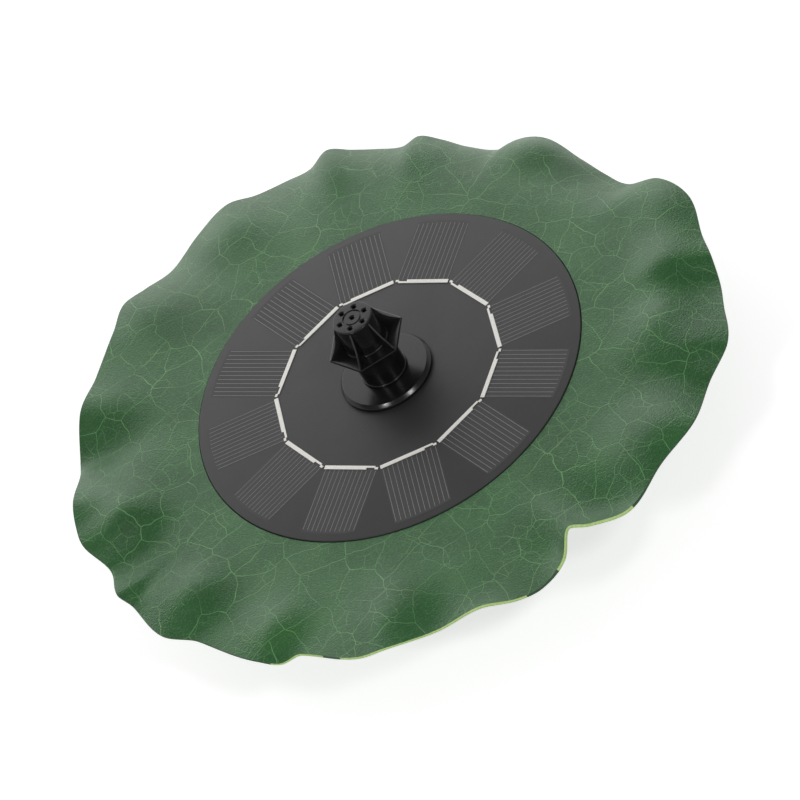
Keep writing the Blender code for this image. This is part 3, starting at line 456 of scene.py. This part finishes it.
def moulded(name, dark, light, grain, depth, roughness, metallic, specular):
    """A moulded or cast surface: slight colour clouds, fine grain and uneven gloss."""
    finish = Finish(name, Metallic=metallic, Specular_IOR_Level=specular)
    clouds = finish.noise(grain * MM * MOULDED_CLOUDS, 3.0)
    fine = finish.noise(grain * MM)
    smoother = roughness - MOULDED_GLOSS_CHANGE
    rougher = roughness + MOULDED_GLOSS_CHANGE
    finish.paint("Base Color", finish.ramp(clouds, *zip(MOULDED_CLOUD_RANGE, (dark, light))))
    finish.paint("Roughness", finish.spread(fine, *NOISE_RANGE, smoother, rougher))
    finish.emboss(fine, depth * MM)
    return finish.material


def drawn(name, dark, light, size, roughness, metallic):
    """Metal strip or wire with fine drawn lines."""
    finish = Finish(name, Metallic=metallic)
    lines = finish.noise(size * MM, 4.0)
    smoother = roughness - DRAWN_GLOSS_CHANGE
    rougher = roughness + DRAWN_GLOSS_CHANGE
    finish.paint("Base Color", finish.ramp(lines, *zip(NOISE_RANGE, (dark, light))))
    finish.paint("Roughness", finish.spread(lines, *NOISE_RANGE, smoother, rougher))
    finish.emboss(lines, size * MM * DRAWN_DEPTH_SHARE)
    return finish.material


def layered(name, dark, light, pitch, roughness, metallic):
    """Stacked sheets or laid wire: even bands up the piece."""
    finish = Finish(name, Metallic=metallic)
    inputs = {"Vector": finish.place, "Scale": WAVE_LENGTH / (pitch * MM), "Distortion": LAYER_DISTORTION}
    wave = finish.add("ShaderNodeTexWave", inputs, bands_direction="Z").outputs["Fac"]
    finish.paint("Base Color", finish.ramp(wave, *zip(LAYER_COLOUR_RANGE, (dark, light))))
    finish.paint("Roughness", finish.spread(wave, 0.0, 1.0, roughness + LAYER_GLOSS_CHANGE, roughness))
    finish.emboss(wave, pitch * MM * LAYER_DEPTH_SHARE)
    return finish.material


def porous(name, dark, light, pore, depth):
    """Open foam: pores painted darker than the lighter skin, as shade in them, and sunk by bump."""
    finish = Finish(name, Roughness=PORE_ROUGHNESS)
    pores = finish.cells(finish.place, pore * MM, "F1", "3D")
    # The pores are painted dark as shade inside them, on the same cells that the bump sinks
    finish.paint("Base Color", finish.ramp(pores, *zip(PORE_RANGE, (dark, light))))
    finish.emboss(pores, depth * MM)
    return finish.material


def make_finishes():
    """Every finish by its name; most names are the record's material slots."""
    made = {
        "leaf_foam": leaf_print(),
        "leaf_cut": leaf_cut(),
        "panel_laminate": panel_laminate(),
        "cell_silicon": cell_silicon(),
    }
    for kind, rows in ((moulded, MOULDED), (drawn, DRAWN), (layered, LAYERED), (porous, POROUS)):
        for row in rows:
            made[row[0]] = kind(*row)
    return made


# Mesh helpers
def add_piece(name, mesh, body, slot, finish_names=None, replaced=()):
    """A piece of the object: its finish, the body it rides on and the CAD nodes that it stands for."""
    piece = bpy.data.objects.new(name, mesh)
    bpy.context.scene.collection.objects.link(piece)
    for finish_name in finish_names or [slot]:
        mesh.materials.append(finishes[finish_name])
    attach(piece, body)
    if replaced:
        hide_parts(*replaced)
    return piece


def shaded(mesh):
    """Smooth, except across sharp edges."""
    mesh.shade_smooth()
    mesh.set_sharp_from_angle(angle=SHARP_ANGLE)
    return mesh


def to_mesh(name, bm):
    """Turns a bmesh into a mesh with its faces pointing out."""
    bmesh.ops.recalc_face_normals(bm, faces=bm.faces)
    mesh = bpy.data.meshes.new(name)
    bm.to_mesh(mesh)
    bm.free()
    return shaded(mesh)


def rounded(corners):
    """A profile from (radius, height, rounding) corners, with an arc at each rounded one."""
    profile = []
    count = len(corners)
    for index, (x, z, rounding) in enumerate(corners):
        here = Vector((x, z))
        if rounding == 0.0:
            profile.append((x, z))
            continue
        start = (Vector(corners[index - 1][:2]) - here).normalized()
        end = (Vector(corners[(index + 1) % count][:2]) - here).normalized()
        half = start.angle(end) / 2
        length = rounding / tan(half)
        middle = here + (start + end).normalized() * (rounding / sin(half))
        first = here + start * length - middle
        last = here + end * length - middle
        swing = first.angle_signed(last)
        for step in range(FILLET_STEPS + 1):
            turn = Matrix.Rotation(-swing * step / FILLET_STEPS, 2)
            profile.append(tuple(middle + turn @ first))
    return profile


def turned(profile, segments):
    """A body of revolution; a profile that starts on the axis ends there too."""
    bm = bmesh.new()
    points = [bm.verts.new((radius, 0.0, height)) for radius, height in profile]
    edges = [bm.edges.new(pair) for pair in zip(points, points[1:])]
    if profile[0][0] > 0.0:
        edges.append(bm.edges.new((points[-1], points[0])))
    bmesh.ops.spin(bm, geom=points + edges, cent=(0.0, 0.0, 0.0), axis=(0.0, 0.0, 1.0),
                   angle=tau, steps=segments, use_merge=True)
    bmesh.ops.remove_doubles(bm, verts=bm.verts, dist=WELD_DISTANCE)
    return bm


def prism(outlines, bottom, top, edge=0.0):
    """Upright bodies on outlines drawn in plan, with all their edges rounded if an edge size is given."""
    bm = bmesh.new()
    for outline in outlines:
        base = bm.faces.new([bm.verts.new((x, y, bottom)) for x, y in outline])
        grown = bmesh.ops.extrude_face_region(bm, geom=[base])
        risen = [part for part in grown["geom"] if isinstance(part, bmesh.types.BMVert)]
        bmesh.ops.translate(bm, verts=risen, vec=(0.0, 0.0, top - bottom))
    bmesh.ops.recalc_face_normals(bm, faces=bm.faces)
    if edge > 0.0:
        sharp = [e for e in bm.edges if e.calc_face_angle(0.0) > SHARP_ANGLE]
        bmesh.ops.bevel(bm, geom=sharp, offset=edge, segments=BEVEL_STEPS, profile=0.5, affect="EDGES")
    return bm


def circle_points(radius, count):
    """Evenly spread points on a circle."""
    angles = [tau * index / count for index in range(count)]
    return [(radius * cos(angle), radius * sin(angle)) for angle in angles]


def turns(count):
    """Turns about the axis, from the first of so many equal shapes to each of the others."""
    return [Matrix.Rotation(tau * index / count, 4, "Z") for index in range(1, count)]


def with_copies(bm, moves):
    """The shape, with a moved copy of it for each of the moves."""
    first = bm.verts[:] + bm.edges[:] + bm.faces[:]
    for move in moves:
        copied = bmesh.ops.duplicate(bm, geom=first)["geom"]
        corners = [part for part in copied if isinstance(part, bmesh.types.BMVert)]
        bmesh.ops.transform(bm, matrix=move, verts=corners)
    return bm


def fused(name, base, steps):
    """A mesh of a base shape with other shapes joined to it or cut from it, in turn."""
    helpers = [bpy.data.objects.new(name, to_mesh(name, base))]
    for operation, bm in steps:
        tool = bpy.data.objects.new(f"{name}_tool_{len(helpers)}", to_mesh(name, bm))
        change = helpers[0].modifiers.new(tool.name, "BOOLEAN")
        change.operation = operation
        change.solver = "EXACT"
        change.object = tool
        helpers.append(tool)
    for helper in helpers:
        bpy.context.scene.collection.objects.link(helper)
    evaluated = helpers[0].evaluated_get(bpy.context.evaluated_depsgraph_get())
    mesh = bpy.data.meshes.new_from_object(evaluated)
    mesh.materials.clear()
    for helper in helpers:
        bpy.data.objects.remove(helper)
    return shaded(mesh)


# Leaf
def rim_values(angles):
    """Reach and lift of the rim at the given angles, on a smooth closed curve through the rim's points."""
    rim = np.array(LEAF_RIM)
    turn = np.array((360.0, 0.0, 0.0))
    line = np.vstack((rim[-1:] - turn, rim, rim[:2] + turn))
    first = line[1, 0]
    places = (angles - first) % 360.0 + first
    spans = np.clip(np.searchsorted(line[:, 0], places, side="right") - 1, 1, len(rim))
    before, start, end, after = (line[spans + step] for step in (-1, 0, 1, 2))
    length = end[:, :1] - start[:, :1]
    share = (places[:, None] - start[:, :1]) / length
    leaving = (end - before) / (end[:, :1] - before[:, :1]) * length
    arriving = (after - start) / (after[:, :1] - start[:, :1]) * length
    square = share ** 2
    cube = share ** 3
    values = (2 * cube - 3 * square + 1) * start + (cube - 2 * square + share) * leaving
    values += (3 * square - 2 * cube) * end + (cube - square) * arriving
    return values[:, 1] * MM, values[:, 2] * MM


def leaf_upper_face():
    """Points of the upper face, as columns from the hole to the rim."""
    reach, lift = rim_values(LEAF_ANGLES)
    shares = np.linspace(0.0, 1.0, LEAF_RINGS + 1)
    radii = LEAF_FLAT_RADIUS + (LEAF_RADIUS + reach - LEAF_FLAT_RADIUS)[:, None] * shares
    growth = np.clip((radii - LEAF_FLAT_RADIUS) / SWELL_START, 0.0, 1.0)
    growth = growth ** 2 * (3 - 2 * growth)
    swells = np.zeros_like(radii)
    for angle, place, half_width, half_length, height in LEAF_SWELLS:
        distance = LEAF_RADIUS + place * MM
        across = np.radians((LEAF_ANGLES - angle + 180) % 360 - 180)[:, None] * distance / (half_width * MM)
        along = (radii - distance) / (half_length * MM)
        swells += growth * np.exp(-across ** 2 - along ** 2) * height * MM
    heights = swells + (lift - LEAF_RISE - swells[:, -1])[:, None] * shares ** LEAF_LIFT_POWER
    inner = np.tile((LEAF_HOLE_RADIUS, panel_radius + FIT_GAP / 2, panel_radius + FIT_GAP), (LEAF_COLUMNS, 1))
    recess = np.tile((-LEAF_RISE, -LEAF_RISE, 0.0), (LEAF_COLUMNS, 1))
    radii = np.hstack((inner, radii))
    heights = np.hstack((recess, heights)) + leaf_top + LEAF_RISE
    around = np.radians(LEAF_ANGLES)[:, None]
    return np.stack((radii * np.cos(around), radii * np.sin(around), heights), axis=-1)


def leaf_loops(upper):
    """Closed loops, one for each column: the upper face, the cut edge and the underside."""
    outward = np.gradient(upper, axis=1)
    along = np.roll(upper, -1, axis=0) - np.roll(upper, 1, axis=0)
    normals = np.cross(outward, along)
    normals /= np.linalg.norm(normals, axis=-1, keepdims=True)
    inner = upper.shape[1] - LEAF_RINGS - 1
    shares = np.linspace(0.0, 1.0, LEAF_RINGS + 1)
    thickness = LEAF_THICKNESS * (1 - LEAF_RIM_THINNING * shares ** LEAF_LIFT_POWER)
    lower = upper.copy()
    lower[:, :inner, 2] = leaf_top - LEAF_THICKNESS
    lower[:, inner:] -= normals[:, inner:] * thickness[:, None]
    rim_out = outward[:, -1] / np.linalg.norm(outward[:, -1], axis=-1, keepdims=True)
    edge = []
    for step in range(1, LEAF_EDGE_STEPS):
        share = step / LEAF_EDGE_STEPS
        bulge = LEAF_EDGE_BULGE * sin(pi * share)
        edge.append(upper[:, -1] * (1 - share) + lower[:, -1] * share + rim_out * bulge)
    return np.concatenate((upper, np.stack(edge, axis=1), lower[:, ::-1]), axis=1)


def leaf_zones(rings, length):
    """Which of LEAF_FINISHES each face of the leaf has."""
    top, bright, dark, back = range(len(LEAF_FINISHES))
    rim_faces = slice(rings - 1, rings - 1 + LEAF_EDGE_STEPS)
    zones = np.full((LEAF_COLUMNS, length), back)
    zones[:, :rings - 1] = top
    # The outer cut edge is painted dark as shade, except the BRIGHT_CUTS stretches, which keep the foam's
    # core colour
    zones[:, rim_faces] = dark
    zones[:, -1] = bright
    for start, end in BRIGHT_CUTS:
        stretch = (LEAF_ANGLES >= start) & (LEAF_ANGLES <= end)
        zones[stretch, rim_faces] = bright
    return zones


def make_leaf():
    """Foam leaf, as one closed sheet with a print on top and a cut edge."""
    upper = leaf_upper_face()
    loops = leaf_loops(upper)
    length = loops.shape[1]
    column, place = np.meshgrid(np.arange(LEAF_COLUMNS), np.arange(length), indexing="ij")
    next_column = (column + 1) % LEAF_COLUMNS
    next_place = (place + 1) % length
    corners = [(column, place), (column, next_place), (next_column, next_place), (next_column, place)]
    faces = np.stack([c * length + p for c, p in corners], axis=-1).reshape(-1, 4)
    mesh = bpy.data.meshes.new("leaf_sheet")
    mesh.from_pydata(loops.reshape(-1, 3).tolist(), [], faces.tolist())
    zones = leaf_zones(upper.shape[1], length)
    mesh.polygons.foreach_set("material_index", zones.ravel().astype(np.int32))
    leaf = add_piece("leaf_sheet", shaded(mesh), "pump", "leaf_foam", LEAF_FINISHES, ["leaf"])


# Solar panel
def make_panel():
    """Board and film with a softly rounded edge around the cells, and the printed contact fingers."""
    corners = [
        (PANEL_HOLE_RADIUS, board_bottom, 0.0),
        (panel_radius, board_bottom, PANEL_EDGE),
        (panel_radius, film_top, PANEL_EDGE),
        (PANEL_HOLE_RADIUS, film_top, 0.0),
    ]
    mesh = to_mesh("panel_disc", turned(rounded(corners), LARGE_SEGMENTS))
    add_piece("panel_disc", mesh, "pump", "panel_laminate", replaced=["panel_board"])
    for index in range(CELL_COUNT):
        make_fingers(index)


def make_fingers(index):
    """Thin parallel lines across one cell, from its ribbon to near the panel's edge."""
    half = FINGER_WIDTH / 2
    strips = []
    for number in range(FINGER_COUNT):
        middle = (number - (FINGER_COUNT - 1) / 2) * FINGER_PITCH
        end = sqrt(FINGER_REACH ** 2 - middle ** 2)
        strips.append([(FINGER_START, middle - half), (end, middle - half),
                       (end, middle + half), (FINGER_START, middle + half)])
    bm = prism(strips, cell_top, cell_top + FINGER_HEIGHT)
    bm.transform(Matrix.Rotation(pi / CELL_COUNT * (2 * index + 1), 4, "Z"))
    name = f"cell_fingers_{index + 1:02d}"
    add_piece(name, to_mesh(name, bm), "pump", "ribbon_tin", ["finger_silver"])


# Flange, riser and nozzle
def make_flange():
    """Flange with its inner pipe, and a recess below for the gasket."""
    recess_inner, recess_outer, recess_depth = GASKET_RECESS
    recess_top = flange_bottom + recess_depth
    corners = [
        (PIPE_BORE, flange_bottom, 0.0),
        (recess_inner, flange_bottom, 0.0),
        (recess_inner, recess_top, 0.0),
        (recess_outer, recess_top, 0.0),
        (recess_outer, flange_bottom, 0.0),
        (flange_radius, flange_bottom, EDGE_ROUNDING),
        (flange_radius, flange_top - FLANGE_CHAMFER, FLANGE_ROUNDING),
        (flange_radius - FLANGE_CHAMFER, flange_top, FLANGE_ROUNDING),
        (PIPE_RADIUS, flange_top, 0.0),
        (PIPE_RADIUS, flange_pipe_top, 0.0),
        (PIPE_BORE, flange_pipe_top, 0.0),
    ]
    mesh = to_mesh("flange_moulding", turned(rounded(corners), LARGE_SEGMENTS))
    add_piece("flange_moulding", mesh, "pump", "black_plastic", replaced=["riser_flange"])


def make_riser():
    """Round pipe over the flange's pipe, with a bead at its foot."""
    bead = riser_radius + BEAD_RADIUS
    corners = [
        (RISER_BORE, riser_bottom, 0.0),
        (bead, riser_bottom, 0.0),
        (bead, riser_bottom + 2 * BEAD_RADIUS, BEAD_FILLET),
        (riser_radius, riser_bottom + 2 * BEAD_RADIUS, 0.0),
        (riser_radius, riser_top, EDGE_ROUNDING),
        (RISER_BORE, riser_top, 0.0),
    ]
    mesh = to_mesh("riser_tube", turned(rounded(corners), ROUND_SEGMENTS))
    add_piece("riser_tube", mesh, "riser", "black_plastic", replaced=["riser_pipe"])


def make_nozzle():
    """Cone with a plug below, a six-sided plate, six webs, seven jets and a round groove."""
    roof = head_top - HEAD_ROOF
    bore = CONE_TOP_RADIUS - HEAD_WALL
    half_groove = GROOVE_WIDTH / 2
    bead = CONE_BASE_RADIUS + BEAD_RADIUS
    corners = [
        (0.0, roof, 0.0),
        (bore, roof, 0.0),
        (bore, hex_top, 0.0),
        (PLUG_BORE, hex_bottom, 0.0),
        (PLUG_BORE, plug_bottom, 0.0),
        (PLUG_RADIUS, plug_bottom, EDGE_ROUNDING),
        (PLUG_RADIUS, hex_bottom + HEX_THICKNESS / 2, 0.0),
        (bead, hex_bottom + HEX_THICKNESS / 2, 0.0),
        (bead, hex_top + BEAD_RADIUS, BEAD_FILLET),
        (CONE_BASE_RADIUS, hex_top + BEAD_RADIUS, 0.0),
        (CONE_TOP_RADIUS, head_top, CONE_EDGE),
        (GROOVE_RADIUS + half_groove, head_top, 0.0),
        (GROOVE_RADIUS + half_groove, head_top - GROOVE_DEPTH, 0.0),
        (GROOVE_RADIUS - half_groove, head_top - GROOVE_DEPTH, 0.0),
        (GROOVE_RADIUS - half_groove, head_top, 0.0),
        (0.0, head_top, 0.0),
    ]
    cone = turned(rounded(corners), ROUND_SEGMENTS)
    plate = prism([circle_points(HEX_RADIUS, WEB_COUNT)], hex_bottom, hex_top, HEX_EDGE)
    hole = circle_points((bore + PLUG_RADIUS) / 2, ROUND_SEGMENTS)
    plate_bore = prism([hole], hex_bottom - CUT_MARGIN, hex_top + CUT_MARGIN)
    ring = fused("nozzle_plate", plate, [("DIFFERENCE", plate_bore)])
    ring_bm = bmesh.new()
    ring_bm.from_mesh(ring)
    mesh = fused("nozzle_spray_head", cone,
                 [("UNION", ring_bm), ("UNION", nozzle_webs()), ("DIFFERENCE", nozzle_jets())])
    mesh.transform(Matrix.Rotation(HEAD_TURN, 4, "Z"))
    add_piece("nozzle_spray_head", mesh, "nozzle", "black_plastic", replaced=["nozzle_head"])


def nozzle_webs():
    """Thin upright webs from the cone to the plate's corners, with hollow, rounded edges."""
    tip = HEX_RADIUS - WEB_TIP_INSET
    web_top = head_top - WEB_TOP_DROP
    foot = hex_bottom + HEX_THICKNESS / 2
    root = CONE_TOP_RADIUS - HEAD_WALL / 2
    edge = []
    for step in range(WEB_STEPS + 1):
        share = step / WEB_STEPS
        hollow = WEB_HOLLOW * sin(pi * share)
        radius = tip + (CONE_TOP_RADIUS + CONE_EDGE - tip) * share - hollow
        edge.append((radius, hex_top + (web_top - hex_top) * share - hollow / 2))
    outline = [(root, foot), (tip, foot)] + edge + [(root, web_top)]
    bm = prism([outline], -WEB_THICKNESS / 2, WEB_THICKNESS / 2, WEB_EDGE)
    bm.transform(Matrix.Rotation(pi / 2, 4, "X"))
    return with_copies(bm, turns(WEB_COUNT))


def nozzle_jets():
    """Drills for the jets: narrow bores that open out in shallow cones at the top."""
    low = head_top - HEAD_ROOF - CUT_MARGIN
    flare = (JET_RADIUS - JET_BORE) / JET_DEPTH
    high = head_top + JET_DEPTH
    drill = turned([(0.0, low), (JET_BORE, low), (JET_BORE, head_top - JET_DEPTH),
                    (JET_RADIUS + flare * JET_DEPTH, high), (0.0, high)], SMALL_SEGMENTS)
    places = circle_points(JET_CIRCLE, WEB_COUNT)
    return with_copies(drill, [Matrix.Translation((x, y, 0.0)) for x, y in places])


# Strainer, sponge and float ring
def make_strainer():
    """Inlet cup with round-ended slots."""
    bore = strainer_radius - STRAINER_WALL
    corners = [
        (0.0, 0.0, 0.0),
        (strainer_radius - 2 * STRAINER_FOOT, 0.0, 0.0),
        (strainer_radius, 0.0, STRAINER_FOOT),
        (strainer_radius, strainer_top, EDGE_ROUNDING),
        (bore, strainer_top, EDGE_ROUNDING),
        (bore, STRAINER_FLOOR, 0.0),
        (0.0, STRAINER_FLOOR, 0.0),
    ]
    cup = turned(rounded(corners), ROUND_SEGMENTS)
    mesh = fused("strainer_basket", cup, [("DIFFERENCE", strainer_slots())])
    add_piece("strainer_basket", mesh, "strainer", "black_plastic", replaced=["strainer_cover"])


def strainer_slots():
    """Cutting bars for the slots, all round the cup."""
    half = SLOT_WIDTH / 2
    outline = []
    for end, start in ((SLOT_BOTTOM + SLOT_HEIGHT - half, 0.0), (SLOT_BOTTOM + half, pi)):
        for step in range(SLOT_END_STEPS + 1):
            angle = start + pi * step / SLOT_END_STEPS
            outline.append((half * cos(angle), end + half * sin(angle)))
    inner = strainer_radius - 2 * STRAINER_WALL
    bm = prism([outline], inner, strainer_radius + STRAINER_WALL)
    height_to_outward = Matrix(((0, 0, 1, 0), (1, 0, 0, 0), (0, 1, 0, 0), (0, 0, 0, 1)))
    bm.transform(height_to_outward)
    return with_copies(bm, turns(SLOT_COUNT))


def foam_ring(name, inner, outer, bottom, top, chamfer, roughness, rows):
    """A ring of cut foam: a rounded lower rim and a skin that is never quite even, always inside its box."""
    small = chamfer * FOAM_SMALL_CHAMFER
    corners = [(inner, bottom, small), (outer, bottom, chamfer), (outer, top, small), (inner, top, small)]
    outline = rounded(corners)
    profile = []
    for start, end in zip(outline, outline[1:] + outline[:1]):
        for row in range(rows):
            share = row / rows
            profile.append((start[0] + (end[0] - start[0]) * share, start[1] + (end[1] - start[1]) * share))
    bm = turned(profile, LARGE_SEGMENTS)
    bmesh.ops.recalc_face_normals(bm, faces=bm.faces)
    bm.normal_update()
    for vertex in bm.verts:
        amount = (1 + noise.cell(vertex.co / FOAM_PORE)) / 2
        vertex.co -= vertex.normal * (amount * roughness)
    return to_mesh(name, bm)


def make_foams():
    """Float ring under the leaf, and the sponge in the strainer."""
    ring = foam_ring("float_ring_foam", FLOAT_INNER_RADIUS, float_radius, float_bottom, float_top,
                     FLOAT_CHAMFER, FLOAT_ROUGHNESS, FLOAT_ROWS)
    piece = add_piece("float_ring_foam", ring, "pump", "float_foam", replaced=["float_ring"])
    sponge = foam_ring("sponge_ring", SPONGE_HOLE_RADIUS, sponge_radius, sponge_bottom, sponge_top,
                       SPONGE_CHAMFER, SPONGE_ROUGHNESS, SPONGE_ROWS)
    piece = add_piece("sponge_ring", sponge, "strainer", "sponge_foam", replaced=["filter_sponge"])


def finish_cad_nodes():
    """Finishes of the CAD nodes that stay, by the start of their names."""
    starts = {
        "solar_cell_": "cell_silicon", "bus_ribbon_": "ribbon_tin",
        "pump_": "black_plastic", "impeller_cover": "black_plastic", "impeller": "rotor_plastic",
        "lid_seal": "black_rubber", "lid_screw_": "screw_steel", "rotor_magnet": "magnet_ferrite",
        "rotor_shaft": "shaft_ceramic", "lower_shaft_cushion": "black_rubber",
        "upper_shaft_cushion": "black_rubber", "stator_core": "core_steel", "stator_coil_": "coil_copper",
        "driver_board": "driver_board_green", "potting_ring": "potting_resin",
        "lead_positive": "lead_positive_sleeve", "lead_negative": "lead_negative_sleeve",
        "lead_grommet": "black_rubber", "flange_gasket": "black_rubber", "riser_o_ring": "black_rubber",
    }
    for name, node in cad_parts.items():
        matches = [start for start in starts if name.startswith(start)]
        if matches:
            node.material_slots[0].material = finishes[starts[max(matches, key=len)]]


# Studio
def make_floor():
    """Pale floor that curves up into a wall all round."""
    profile = [(0.0, 0.0), (FLOOR_RADIUS / 8, 0.0), (FLOOR_RADIUS / 2, 0.0)]
    for step in range(COVE_STEPS + 1):
        angle = pi / 2 * step / COVE_STEPS
        profile.append((FLOOR_RADIUS + COVE_RADIUS * sin(angle), COVE_RADIUS * (1 - cos(angle))))
    profile.append((FLOOR_RADIUS + COVE_RADIUS, WALL_HEIGHT))
    mesh = to_mesh("studio_floor", turned(profile, ROUND_SEGMENTS))
    if sum(face.normal.z for face in mesh.polygons) < 0.0:
        mesh.flip_normals()
    finish = Finish("studio_floor", Base_Color=FLOOR_COLOUR, Roughness=FLOOR_ROUGHNESS,
                    Specular_IOR_Level=0.0, Emission_Color=WHITE)
    rays = finish.add("ShaderNodeLightPath").outputs
    seen = finish.maths("MAXIMUM", rays["Is Camera Ray"], rays["Is Glossy Ray"])
    seen = finish.maths("MAXIMUM", seen, rays["Is Transmission Ray"])
    finish.paint("Emission Strength", finish.maths("MULTIPLY", seen, FLOOR_GLOW))
    back = finish.add("ShaderNodeNewGeometry").outputs["Backfacing"]
    finish.paint("Alpha", finish.maths("SUBTRACT", 1.0, back))
    mesh.materials.append(finish.material)
    floor = bpy.data.objects.new("studio_floor", mesh)
    bpy.context.scene.collection.objects.link(floor)


def add_light(name, place, size, power):
    """A soft rectangular light that looks at the panel."""
    lamp = bpy.data.lights.new(name, "AREA")
    lamp.shape = "RECTANGLE"
    lamp.size, lamp.size_y = size
    lamp.energy = power
    light = bpy.data.objects.new(name, lamp)
    light.location = place
    light.rotation_euler = (Vector((0.0, 0.0, board_top)) - Vector(place)).to_track_quat("-Z", "Y").to_euler()
    light.visible_camera = False
    bpy.context.scene.collection.objects.link(light)


def make_light():
    """A large soft light behind the object, two small ones in front and an even, dim room."""
    world = bpy.data.worlds.new("studio_room")
    world.use_nodes = True
    background = world.node_tree.nodes["Background"]
    background.inputs["Color"].default_value = WHITE
    background.inputs["Strength"].default_value = WORLD_LEVEL
    bpy.context.scene.world = world
    add_light("back_light", BACK_LIGHT_PLACE, BACK_LIGHT_SIZE, BACK_LIGHT_POWER)
    for number, place in enumerate(FRONT_LIGHT_PLACES):
        add_light(f"front_light_{number + 1}", place, FRONT_LIGHT_SIZE, FRONT_LIGHT_POWER)


def make_camera():
    """Camera that looks at the panel's middle, turned and rolled as in the photograph."""
    level = Vector((cos(CAMERA_TURN), sin(CAMERA_TURN), 0.0))
    away = Vector((sin(CAMERA_TURN), -cos(CAMERA_TURN), 0.0))
    back = away * cos(CAMERA_TILT) + Vector((0.0, 0.0, sin(CAMERA_TILT)))
    upright = back.cross(level)
    right = level * cos(CAMERA_ROLL) + upright * sin(CAMERA_ROLL)
    up = upright * cos(CAMERA_ROLL) - level * sin(CAMERA_ROLL)
    place = Vector((0.0, 0.0, board_top)) + right * CAMERA_RIGHT - up * CAMERA_DOWN + back * CAMERA_DISTANCE
    settings = bpy.data.cameras.new("camera")
    settings.lens = CAMERA_LENS
    settings.sensor_width = CAMERA_SENSOR
    camera = bpy.data.objects.new("camera", settings)
    camera.matrix_world = Matrix.Translation(place) @ Matrix((right, up, back)).transposed().to_4x4()
    bpy.context.scene.collection.objects.link(camera)
    bpy.context.scene.camera = camera


finishes = make_finishes()
bpy.context.scene.view_settings.view_transform = "Standard"
make_camera()
make_light()
make_floor()
make_leaf()
make_panel()
make_flange()
make_riser()
make_nozzle()
make_strainer()
make_foams()
finish_cad_nodes()
